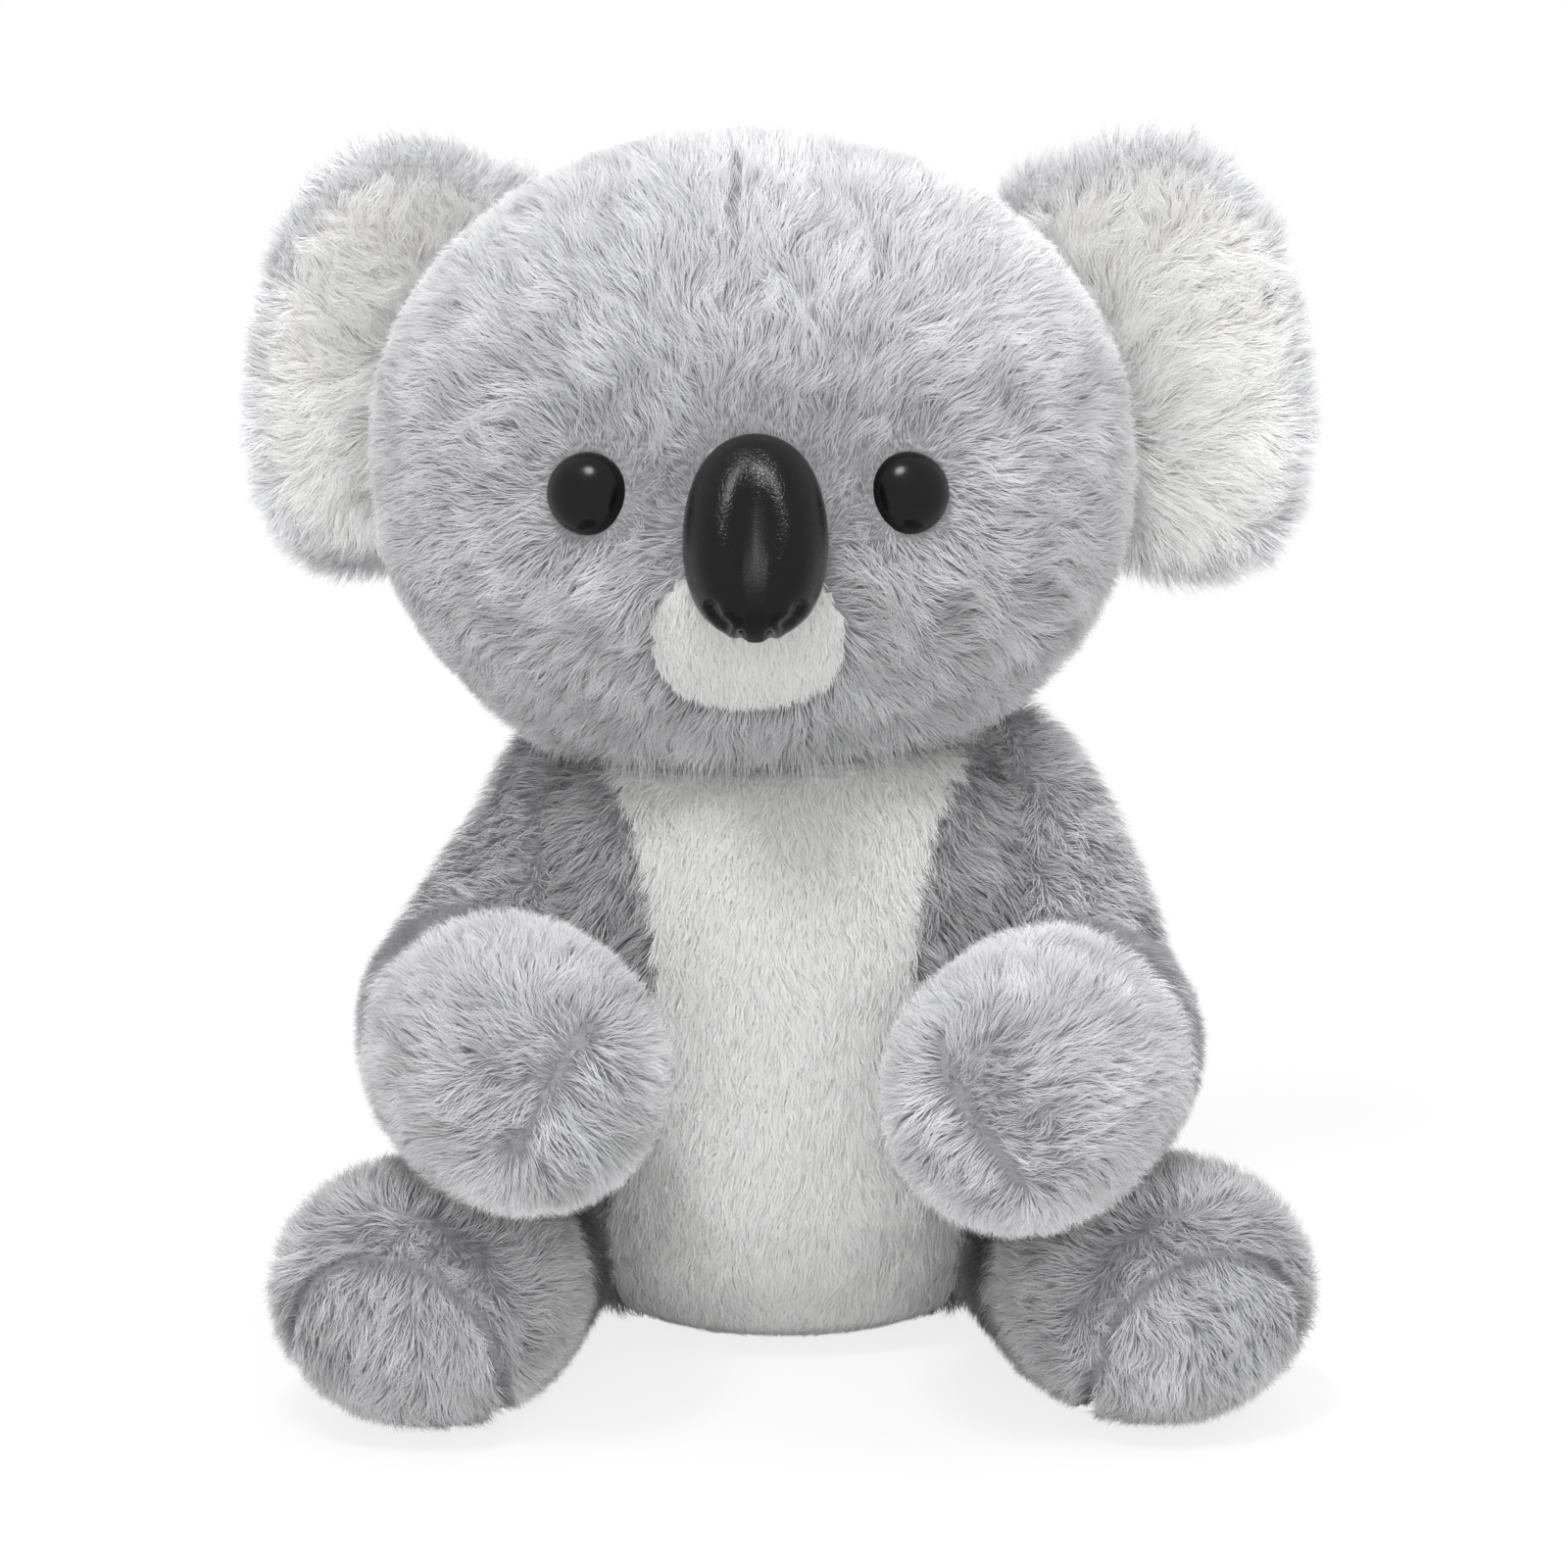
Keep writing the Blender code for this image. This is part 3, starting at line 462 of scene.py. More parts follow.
# %% Black plastics
def nose_material():
    """Leather grain, handled smooth, and left matt low down in the hollow."""
    material, start, shader = new_material("moulded nose", Specular_IOR_Level=0.2)
    place = start.node("ShaderNodeSeparateXYZ", None, {0: start})
    aside = place - seats["nose"][0].x
    beside = (aside * aside).between(0.0010**2, 0.0024**2)
    above = place.other(2).between(0.1530, 0.1580)
    cells = {"Vector": start, "Scale": 1900.0}
    grain = start.node("ShaderNodeTexVoronoi", {"feature": "DISTANCE_TO_EDGE"}, cells)
    coarse = noise(start, 900.0)
    height = grain.between(0.0, 0.25) * 0.7 + coarse * 0.6
    base = coarse.blend((0.0015, 0.0015, 0.0017), (0.004, 0.004, 0.0042))
    feed(shader, Base_Color=base, Normal=height.bump(0.00003))
    feed(shader, Roughness=(1 - beside) * (1 - above) * 0.40 + 0.18)
    return material


def eye_material():
    """Polished, with the faint smears of handling."""
    material, start, shader = new_material("eye gloss", Specular_IOR_Level=0.2)
    smear = noise(start, 260.0, 3.0)
    feed(shader, Base_Color=smear.blend((0.002, 0.002, 0.002), (0.006, 0.006, 0.0062)))
    feed(shader, Roughness=smear * 0.08 + 0.13)
    return material


moulded_nose, eye_gloss = nose_material(), eye_material()
print("black plastics", moulded_nose.name, eye_gloss.name)

# %% Lines drawn on the nose
NOSE_WIDTH, NOSE_HEIGHT, NOSE_DEPTH = 0.0240, 0.0345, 0.0190
NOSE_PROUD = 0.0030  # its middle ahead of the cloth
NOSE_LEAN = math.radians(10)
# one side's nostril and the notch beside the prong, as the nose is seen from the front
NOSTRIL = ((0.0050, -0.0150), (0.0066, -0.0136), (0.0074, -0.0118))
NOTCH = ((0.0017, -0.0187), (0.0025, -0.0165))


def bell(value, width):
    """1 where value is 0, and falling away to both sides of it."""
    return math.exp(-((value / width) ** 2))


def line_gap(x, z, line):
    """How far a point is from a drawn line."""
    best = 1.0
    for (x1, z1), (x2, z2) in zip(line[:-1], line[1:]):
        dx, dz = x2 - x1, z2 - z1
        share = min(max(((x - x1) * dx + (z - z1) * dz) / (dx**2 + dz**2), 0), 1)
        best = min(best, math.hypot(x - x1 - share * dx, z - z1 - share * dz))
    return best


print("a nostril is", round(1000 * math.dist(NOSTRIL[0], NOSTRIL[-1]), 1), "mm long")


# %% Nose
def nose_point(x, y, z):
    """A point of the unit ball as a point of the nose, before it leans."""
    full = 1 + 0.12 * z * z - 0.03 * z
    half = Vector((NOSE_WIDTH / 2, NOSE_DEPTH / 2, NOSE_HEIGHT / 2))
    place = Vector((x * half.x * full, y * half.y * 1.2 * (1 - 0.38 * z), z * half.z))
    if y > 0.3:
        return place
    inwards = -Vector((x / half.x, y / half.y, z / half.z)).normalized()
    front = min(1, (0.3 - y) * 2)
    across, high = abs(place.x), place.z
    width = 0.0032 + 0.10 * max(0.010 - high, 0)
    hollow = 0.0036 * bell(across, width) * bell(high, 0.0085 if high > 0 else 0.0100)
    groove = 0.0010 * bell(line_gap(across, high, NOSTRIL), 0.0010)
    notch = 0.0016 * bell(line_gap(across, high, NOTCH), 0.0007)
    return place + inwards * front * (hollow + groove + notch)


def finished(bm, name):
    """A smooth-shaded mesh from a bmesh that is no longer needed."""
    mesh = bpy.data.meshes.new(name)
    bm.to_mesh(mesh)
    bm.free()
    mesh.polygons.foreach_set("use_smooth", [True] * len(mesh.polygons))
    return mesh


def nose_mesh():
    """The moulded nose on its seat."""
    bm = bmesh.new()
    bmesh.ops.create_uvsphere(bm, u_segments=160, v_segments=140, radius=1)
    for vert in bm.verts:
        vert.co = nose_point(*vert.co)
    seat, outwards = seats["nose"]
    lean = Matrix.Rotation(-NOSE_LEAN, 4, "X")
    bm.transform(Matrix.Translation(seat + outwards * NOSE_PROUD) @ lean)
    return finished(bm, "nose_moulding")


nose = add_piece("nose_moulding", nose_mesh(), moulded_nose)
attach(nose, "head")
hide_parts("nose")
print("nose", len(nose.data.polygons), "faces")

# %% Eyes
EYE_RADIUS, EYE_BULGE = 0.0070, 0.0052


def eye_mesh(side):
    """A flattened ball on the eye's seat."""
    bm = bmesh.new()
    bmesh.ops.create_uvsphere(bm, u_segments=48, v_segments=32, radius=1)
    seat, outwards = seats["eye_" + side]
    facing = outwards.to_track_quat("Z", "Y").to_matrix().to_4x4()
    bm.transform(Matrix.Diagonal((EYE_RADIUS, EYE_RADIUS, EYE_BULGE, 1)))
    bm.transform(Matrix.Translation(seat) @ facing)
    return finished(bm, "eye_dome_" + side)


for side in ("left", "right"):
    eye = add_piece("eye_dome_" + side, eye_mesh(side), eye_gloss)
    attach(eye, "head")
    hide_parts("eye_" + side)
    print(eye.name, len(eye.data.polygons), "faces")

# %% [markdown]
# ## Stuffing
#
# The wads of polyester keep the CAD's forms, a little fuller and lumpy, as handfuls of fibre
# are. The bag of pellets in the seat is lumpier.


# %% A smooth random field
WAVES = 18


def ripple(points, wave, seed):
    """A smooth random field over points, about -1 to 1, whose features are wave metres long."""
    dice = np.random.default_rng(seed)
    ways = dice.normal(size=(WAVES, 3))
    ways *= (math.tau / wave) / np.linalg.norm(ways, axis=1)[:, None]
    ways *= dice.uniform(0.7, 1.3, WAVES)[:, None]
    phases = dice.uniform(0, math.tau, WAVES)
    return np.cos(points @ ways.T + phases).sum(axis=1) / math.sqrt(WAVES / 2)


print("the field at the origin", round(ripple(np.zeros((1, 3)), 0.009, 5)[0], 3))


# %% Wads and the pellet bag
def soft_filling(node, body, material, lump, wave):
    """A node's solid as a lumpy padded piece, with lumps lump high and wave wide."""
    bm = closed_skin(node, (), (node,), 0.0028, 3, 0.0)
    points = np.array([vert.co for vert in bm.verts])
    heights = ripple(points, wave, 5) * lump
    for vert, move in [(v, v.normal * h) for v, h in zip(bm.verts, heights)]:
        vert.co += move
    piece = add_piece(node + "_filling", finished(bm, node + "_filling"), material)
    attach(piece, body)
    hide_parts(node)


fillings = {"torso_stuffing": "torso", "neck_stuffing": "neck", "head_stuffing": "head"}
for side in ("left", "right"):
    for limb in ("ear", "arm", "leg"):
        fillings[f"{limb}_stuffing_{side}"] = f"{limb}_{side}"
for node, body in fillings.items():
    soft_filling(node, body, wadding, 0.0002, 0.009)
soft_filling("pellet_bag", "torso", cotton, 0.0004, 0.006)
for node in ("nose_washer", "eye_washer_left", "eye_washer_right"):
    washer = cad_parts[node]
    washer.data.materials.clear()
    washer.data.materials.append(washer_plastic)
print("fillings", len(fillings) + 1)

# %% [markdown]
# ## Pile
#
# Real pile is thousands of hairs per square centimetre. Hair systems can draw that, but they
# aren't part of a mesh model, so here each hair is a thin blade of two faces, planted on the
# cloth, combed along the surface and gathered with its neighbours into tufts.
#
# A hair that would run into another piece is shortened, and one that has no room isn't
# planted. For that, each body gets a tree of the faces that its hairs may not cross: the skins
# of all other bodies and, for the head, the nose and the eyes.

# %% Where hairs have no room
obstacles = {}
for body in skins:
    corners, faces = [], []
    for other, bm in skins.items():
        if other != body:
            base = len(corners)
            corners += [v.co.copy() for v in bm.verts]
            faces += [[base + v.index for v in f.verts] for f in bm.faces]
    if body == "head":
        for name in ("nose_moulding", "eye_dome_left", "eye_dome_right"):
            mesh = bpy.data.objects[name].data
            base = len(corners)
            corners += [v.co.copy() for v in mesh.vertices]
            faces += [[base + i for i in f.vertices] for f in mesh.polygons]
    obstacles[body] = BVHTree.FromPolygons(corners, faces)

# %% [markdown]
# ## Directions
#
# All hairs of a panel are worked out together, as rows of numpy arrays. These small functions
# handle such rows. The lines and places after them say where the limbs and the ears are, for
# the pile follows them.


# %% Rows of directions
def unit(vectors):
    """Vectors brought to length 1."""
    return vectors / np.maximum(np.linalg.norm(vectors, axis=1), 1e-9)[:, None]


def along_surface(ways, normals):
    """The part of each way that lies along the surface, brought to length 1."""
    return unit(ways - normals * (ways * normals).sum(axis=1)[:, None])


def turned_about(ways, normals, angles):
    """Unit ways along the surface, turned about the normals."""
    return ways * np.cos(angles)[:, None] + np.cross(normals, ways) * np.sin(angles)[:, None]


def eased(values, low, high):
    """0 below low, 1 above high, and smooth in between."""
    share = np.clip((values - low) / (high - low), 0, 1)
    return share * share * (3 - 2 * share)


print("a quarter of the way, eased", eased(np.array([0.25]), 0, 1)[0])

# %% Middle lines of the limbs, and roots of the ears
SIDES = {"left": 1, "right": -1}
ARM_SPINES = {
    "left": (
        (0.0356, 0.0009, 0.1109),
        (0.0455, -0.004, 0.0832),
        (0.0522, -0.020, 0.056),
        (0.0498, -0.0478, 0.0594),
        (0.0396, -0.077, 0.0594),
        (0.0335, -0.104, 0.0594),
    ),
    "right": (
        (-0.0356, 0.0009, 0.1109),
        (-0.041, -0.004, 0.0848),
        (-0.0538, -0.020, 0.061),
        (-0.051, -0.0478, 0.0594),
        (-0.0429, -0.077, 0.0594),
        (-0.038, -0.104, 0.0594),
    ),
}
LEG_SPINES = {
    "left": ((0.037, 0.010, 0.018), (0.0705, -0.0874, 0.021)),
    "right": ((-0.040, 0.010, 0.018), (-0.0658, -0.0897, 0.021)),
}
EAR_ROOTS = {"left": (0.0465, 0.020, 0.158), "right": (-0.0530, 0.026, 0.160)}
print("arms of", [len(spine) for spine in ARM_SPINES.values()], "points")

# %% [markdown]
# ## Seams
#
# The photograph shows a seam on the forehead, one across each paw, and a ring round each sole.
# The first three are given by pixels of the photograph. A line of sight through each pixel
# finds the place on the skin. Modelled thread would be hidden, so a seam is a bare line in the
# pile, where the hairs part to both sides and are toned darker, as painted shade.


# %% Distance from a line
def from_line(points, line):
    """How far points are from a drawn line, and the ways off it, at right angles to it."""
    least, ways = np.full(len(points), 1.0), np.zeros_like(points)
    for start, end in zip(line[:-1], line[1:]):
        start, step = np.array(start), np.array(end) - np.array(start)
        share = np.clip(((points - start) @ step) / (step @ step), 0, 1)
        away = points - (start + share[:, None] * step)
        gap = np.linalg.norm(away, axis=1)
        flat = away - ((away @ step) / (step @ step))[:, None] * step
        near = gap < least
        ways[near] = flat[near] / np.maximum(gap[near], 1e-9)[:, None]
        least = np.minimum(least, gap)
    return least, ways


print("off a line", from_line(np.array([(0.0, 0.0, 0.5)]), ((0, -1, 0), (0, 1, 0)))[1][0])

# %% Seams on the skins
SOLE_ANGLES = {"left": math.radians(19), "right": math.radians(14.5)}
SOLE_RING = 0.0172  # radius of the seam round a sole
skin_trees = {body: BVHTree.FromBMesh(bm) for body, bm in skins.items()}


def seam_on(body, pixels):
    """Pixels of the photograph as points on a skin."""
    rays = [sight_line(*pixel) for pixel in pixels]
    hits = [skin_trees[body].ray_cast(start, way)[0] for start, way in rays]
    return [tuple(hit) for hit in hits if hit is not None]


def sole_ring(side):
    """The seam round a sole, on the skin of the leg."""
    angle = SOLE_ANGLES[side]
    way = Vector((SIDES[side] * math.sin(angle), -math.cos(angle), 0))
    up = Vector((0, 0, 1))
    across = up.cross(way)
    middle = Vector(LEG_SPINES[side][1]) - up * 0.004
    line = []
    for turn in [math.tau * k / 32 for k in range(33)]:
        start = middle + way * 0.05 + SOLE_RING * (across * math.cos(turn) + up * math.sin(turn))
        hit = skin_trees["leg_" + side].ray_cast(start, -way)[0]
        if hit is not None:
            line.append(tuple(hit))
    return line


head_pixels = [(751, 168), (750, 205), (747, 262)]
right_pixels = [(601, 979), (602, 1051), (570, 1094), (527, 1169)]
left_pixels = [(962, 1063), (965, 1096), (987, 1133), (1018, 1175), (1039, 1203)]
SEAMS = {
    "head_cover": (0.0012, seam_on("head", head_pixels)),
    "arm_cover_right": (0.0019, seam_on("arm_right", right_pixels)),
    "arm_cover_left": (0.0019, seam_on("arm_left", left_pixels)),
}
for side in SIDES:
    SEAMS["leg_cover_" + side] = SEAMS["sole_panel_" + side] = (0.0016, sole_ring(side))
for node, (width, line) in SEAMS.items():
    print(node, "seam", round(width * 1000, 1), "mm to a side,", len(line), "points")


# %% The pile beside a seam
def near_seam(points, node):
    """1 on a panel's seam, falling to 0 beside it, and the ways off the seam."""
    if node not in SEAMS:
        return np.zeros(len(points)), np.zeros_like(points)
    width, line = SEAMS[node]
    gap, ways = from_line(points, line)
    close = np.clip(1 - gap / width, 0, 1)
    return close, ways * (close > 0)[:, None]


print("on the forehead's seam", near_seam(np.array([SEAMS["head_cover"][1][0]]), "head_cover")[0])

# %% [markdown]
# ## Combing
#
# A comb is a function of places on the cloth and the normals there. It gives the way that the
# hairs are drawn, and since only the part along the surface counts, a rough direction will do.
# The head is combed outwards from the nose and round the eyes, and the torso downwards.


# %% Head and torso combs
nose_seat = np.array(seats["nose"][0])
eye_seats = [np.array(seats["eye_left"][0]), np.array(seats["eye_right"][0])]


def comb_head(points, normals):
    """Outwards from the nose, round the eyes, and more and more downwards at the sides."""
    away = points - (nose_seat + np.array((0, 0.004, -0.004)))
    reach = np.linalg.norm(away, axis=1)[:, None]
    way = unit(away) + np.array((0, 0, -0.45)) * np.clip(reach / 0.06 - 0.5, 0, 1)
    for seat in eye_seats:
        off = points - seat
        gap = np.linalg.norm(off, axis=1)[:, None]
        way = way + 3.5 * unit(off) * np.exp(-np.clip(gap - EYE_RADIUS, 0, 1) / 0.0035)
    return way


def comb_down(points, normals):
    """Down, and a little towards the middle."""
    return points * np.array((-4, 0, 0)) + np.array((0, 0, -1))


def comb_trunk(points, normals):
    """Down, and a little towards the sides."""
    return points * np.array((6, 0, 0)) + np.array((0, 0, -1))


print("combs", comb_head.__name__, comb_down.__name__, comb_trunk.__name__)

# %% [markdown]
# A limb's pile runs down it, and turns back over its rounded end, where the photograph shows
# the paws and soles combed to both sides. An ear's pile runs outwards from the ear's root.


# %% Along a limb
def from_spine(points, normals, spine, turn, lay):
    """Down a limb to turn, a share of its length, then back over its rounded end.
    In the middle of the end the pile lies along lay."""
    spine = np.array(spine)
    steps = np.diff(spine, axis=0)
    runs = np.linalg.norm(steps, axis=1)
    ends = np.concatenate([[0], np.cumsum(runs)]) / runs.sum()
    best = np.full(len(points), 1e9)
    along, way, off = np.zeros(len(points)), np.zeros_like(points), np.zeros_like(points)
    for k, step in enumerate(steps):
        share = np.clip(((points - spine[k]) @ step) / (step @ step), 0, 1)
        away = points - (spine[k] + share[:, None] * step)
        gap = np.linalg.norm(away, axis=1)
        nearer = gap < best
        best = np.where(nearer, gap, best)
        along[nearer] = (ends[k] + share * (ends[k + 1] - ends[k]))[nearer]
        way[nearer] = step / runs[k]
        off[nearer] = (away / np.maximum(gap, 1e-6)[:, None])[nearer]
    flow = 1 - 1.6 * eased(along, turn - 0.15, turn + 0.15)
    face = eased(normals @ (steps[-1] / runs[-1]), 0.30, 0.85)[:, None]
    drop = np.array((0, 0, -0.4)) * (1 - np.abs(flow))[:, None]
    return (1 - face) * (flow[:, None] * way + 0.5 * off + drop) + face * lay


ARM_TURN, LEG_TURN = 0.62, 0.55  # where the pile turns back, as shares of a limb's length
print("the pile turns back at", ARM_TURN, "of an arm and", LEG_TURN, "of a leg")

# %% Limb and ear combs
def comb_arm(side):
    """Down the arm, and on the paw off its seam to both sides."""

    def comb(points, normals):
        line = SEAMS["arm_cover_" + side][1]
        lay = 0.9 * from_line(points, line)[1] + np.array((0, 0, -0.45))
        return from_spine(points, normals, ARM_SPINES[side], ARM_TURN, lay)

    return comb


def comb_leg(side):
    """Down the leg, and on the sole downwards and a little outwards."""
    lay = np.array((SIDES[side] * 0.25, 0, -1.0))
    return lambda points, normals: from_spine(points, normals, LEG_SPINES[side], LEG_TURN, lay)


def comb_ear(side):
    """Outwards from the ear's root."""
    return lambda points, normals: points - np.array(EAR_ROOTS[side])


def comb_lining(side):
    """Outwards from deep in the ear, and a little upwards."""
    start = np.array(EAR_ROOTS[side]) + np.array((0, 0, 0.002))
    return lambda points, normals: unit(points - start) + np.array((0, 0, 0.15))


print("combs", [comb.__name__ for comb in (comb_arm, comb_leg, comb_ear, comb_lining)])

# %% [markdown]
# ## Length and tone
#
# Pile that is cut to one length still looks uneven. It is trimmed short round the nose and
# the eyes, hangs longer under the chin, and is longest deep in the ears. Its tone changes too:
# each panel's tone follows what the photograph shows, with painted light where the light falls
# and painted shade where shade falls. Here 0 is no change, and a positive value is darker.


# %% Length over the cloth
def face_lengths(points):
    """Short beside the nose and the eyes and on the toy's right cheek, long under the chin."""
    share = np.ones(len(points))
    for seat in eye_seats:
        gap = np.linalg.norm(points - seat, axis=1) - EYE_RADIUS
        share *= np.clip(0.30 + 0.70 * gap / 0.0070, 0.30, 1)
    off = points - nose_seat
    round_nose = np.sqrt((off[:, 0] / NOSE_WIDTH) ** 2 + (off[:, 2] / NOSE_HEIGHT) ** 2)
    gap = (round_nose - 0.5) * NOSE_WIDTH
    front = points[:, 1] < nose_seat[1] + 0.02
    share *= np.where(front, np.clip(0.45 + 0.55 * gap / 0.006, 0.45, 1), 1)
    cheek = eased(-points[:, 0], 0.040, 0.060) * (1 - eased(points[:, 2], 0.150, 0.175))
    chin = eased(-points[:, 2], -0.118, -0.108)
    return share * (1 - 0.35 * cheek) * (1 + 0.35 * chin)


def lining_lengths(side):
    """Longest deep in the ear and shorter at its rim."""

    def lengths(points):
        reach = np.linalg.norm(points - np.array(EAR_ROOTS[side]), axis=1)
        return 1.1 - 0.55 * eased(reach, 0.018, 0.042)

    return lengths


print("length by the nose", face_lengths(np.array([nose_seat]))[0].round(3))


# %% Tone over the cloth
def face_painted_light_and_shade(points):
    """The face has painted light on the forehead, least on its right, and painted shade round the
    nose.
    """
    gap = np.linalg.norm(points - nose_seat, axis=1)
    right = 0.5 + 0.5 * eased(points[:, 0], -0.035, 0.0)
    forehead = eased(points[:, 2], 0.165, 0.190) * right
    return 0.12 * (1 - eased(gap, 0.016, 0.034)) - 0.30 * forehead


def leg_painted_shade(points):
    """Painted shade on the legs, darkest beside the body."""
    return 0.26 * (1 - eased(-points[:, 1], 0.035, 0.095))


def arm_painted_light(points):
    """Painted light on the arms: paler high up, behind the paws' faces, and on the paws' lower
    edges.
    """
    upper = 0.06 * eased(points[:, 2], 0.074, 0.092)
    lower = 0.10 * eased(-points[:, 2], -0.05, -0.04)
    back = 0.12 * eased(points[:, 1], -0.078, -0.060)
    return -upper - lower - back


print("tone by the nose", face_painted_light_and_shade(np.array([nose_seat]))[0].round(3))

# %% [markdown]
# ## Blades
#
# A hair is five points: two at its root, two in its middle and one at its tip. First come the
# roots, spread evenly by the area of the cloth's faces, and then the tufts: one hair in nine is
# a guide, and the hairs nearest to it are drawn to it.


# %% Roots and tufts
FLOOR_GAP = 0.0012  # no hair below this height where the cloth faces down
TUFT = 9  # hairs in a tuft


def planted(node, per_mm2, dice):
    """Even random roots on a panel's cloth, and the normals there."""
    _, corners, triangles, normals = cloths[node]
    a, b, c = (corners[triangles[:, k]] for k in range(3))
    area = np.linalg.norm(np.cross(b - a, c - a), axis=1)
    count = int(area.sum() / 2 * 1e6 * per_mm2)
    pick = dice.choice(len(triangles), count, p=area / area.sum())
    s, t = np.sqrt(dice.random(count)), dice.random(count)
    shares = np.stack([1 - s, s * (1 - t), s * t], axis=1)
    points = sum(corners[triangles[pick, k]] * shares[:, k : k + 1] for k in range(3))
    ups = unit(sum(normals[triangles[pick, k]] * shares[:, k : k + 1] for k in range(3)))
    keep = ~((points[:, 2] < FLOOR_GAP) & (ups[:, 2] < -0.5))
    return points[keep], ups[keep]


def tufts(points, dice):
    """For each hair, the number of its tuft's guide hair."""
    guides = dice.choice(len(points), max(1, len(points) // TUFT), replace=False)
    tree = KDTree(len(guides))
    for k, place in enumerate(points[guides]):
        tree.insert(place, k)
    tree.balance()
    return np.array([guides[tree.find(place)[1]] for place in points])


print("the muzzle at 1 hair per mm2:", len(planted("muzzle_panel", 1, np.random.default_rng(1))[0]))

# %% [markdown]
# Where another piece is near, a hair first stands up further, and if that gives it no room
# either, it is cut shorter. A ray along the hair tells how far it can go.

# %% Room for each hair
STEEPER = ((68, 48), (84, 76))  # further lifts of a hair's two halves, in degrees
SHORTEST = 0.0010
CLEAR_ABOVE = 0.0012


def room_for(points, ups, ways, lengths, lifts, tree):
    """Each hair's length, and the number of the lift that gives it room."""
    result, chosen = lengths.copy(), np.zeros(len(points), int)
    turns = [(math.cos(lift), math.sin(lift)) for lift in lifts]
    for k in range(len(points)):
        start = points[k] + ups[k] * 0.0002
        if tree.ray_cast(start, ups[k], CLEAR_ABOVE)[3] is not None:
            result[k] = 0
            continue
        best = 0
        for number, (flat, up) in enumerate(turns):
            free = tree.ray_cast(start, ways[k] * flat + ups[k] * up, lengths[k])[3]
            reach = lengths[k] if free is None else free * 0.9
            if reach > best:
                best, chosen[k] = reach, number
            if free is None:
                break
        result[k] = best
    result[result < SHORTEST] = 0
    return result, chosen


print("hairs under", round(SHORTEST * 1000, 1), "mm aren't planted")


# %% Bending and gathering
def bent(points, ups, ways, lengths, lifts):
    """Each hair's middle and tip. Its two halves stand up by their own lifts, in degrees."""
    first, second = np.radians(lifts).T[:, :, None]
    half = lengths[:, None] / 2
    mids = points + half * (ups * np.sin(first) + ways * np.cos(first))
    return mids, mids + half * (ups * np.sin(second) + ways * np.cos(second))


def gathered(points, places, guide, share, pull):
    """Places on the hairs, drawn towards the same places on their guide hairs."""
    return places + pull * (points[guide] + (places - points)[guide] * share - places)


print("helpers", bent.__name__, gathered.__name__)


# %% Blades as a mesh
def blade_mesh(name, points, ups, mids, tips, widths, tones):
    """Hairs as blades of a four-sided and a three-sided face, with tone and height as UV."""
    count = len(points)
    chord = unit(tips - points)
    side = unit(np.cross(chord, ups))
    side = turned_about(side, chord, np.random.default_rng(count).uniform(-0.6, 0.6, count))
    low, high = side * widths[:, None] / 2, side * widths[:, None] * 0.32
    corners = np.stack([points - low, points + low, mids + high, mids - high, tips], axis=1)
    corners[:, :, 2] = np.maximum(corners[:, :, 2], 0.0002)
    numbers = np.arange(count)[:, None] * 5 + np.array([0, 1, 2, 3, 3, 2, 4])
    starts = np.arange(count)[:, None] * 7 + np.array([0, 4])
    mesh = bpy.data.meshes.new(name)
    mesh.vertices.add(count * 5)
    mesh.vertices.foreach_set("co", corners.reshape(-1).astype(np.float32))
    mesh.loops.add(count * 7)
    mesh.loops.foreach_set("vertex_index", numbers.reshape(-1).astype(np.int32))
    mesh.polygons.add(count * 2)
    mesh.polygons.foreach_set("loop_start", starts.reshape(-1).astype(np.int32))
    mesh.update(calc_edges=True)
    layer = mesh.uv_layers.new(name="OFBake")
    half = 0.006
    spread = np.array([-half, half, half, -half, -half, half, 0])
    u = np.clip(tones, 0.01, 0.99)[:, None] + spread
    v = np.broadcast_to(np.array([0, 0, 0.5, 0.5, 0.5, 0.5, 1.0]), u.shape)
    layer.data.foreach_set("uv", np.stack([u, v], axis=2).reshape(-1).astype(np.float32))
    return mesh


print("a blade has 5 corners and 2 faces")

# %% [markdown]
# ## A panel's pile
#
# The steps come together here. The random draws of a panel all come from one generator with a
# fixed seed, and in a fixed order, so that each run gives the same hairs. A large panel's pile
# is parted into pieces of a handy size, from front to back.

# %% Growing a panel's pile
MOST_BLADES = 64000  # in one piece
BARE = 0.84  # how near to a seam's middle no hair grows
hairs = {}


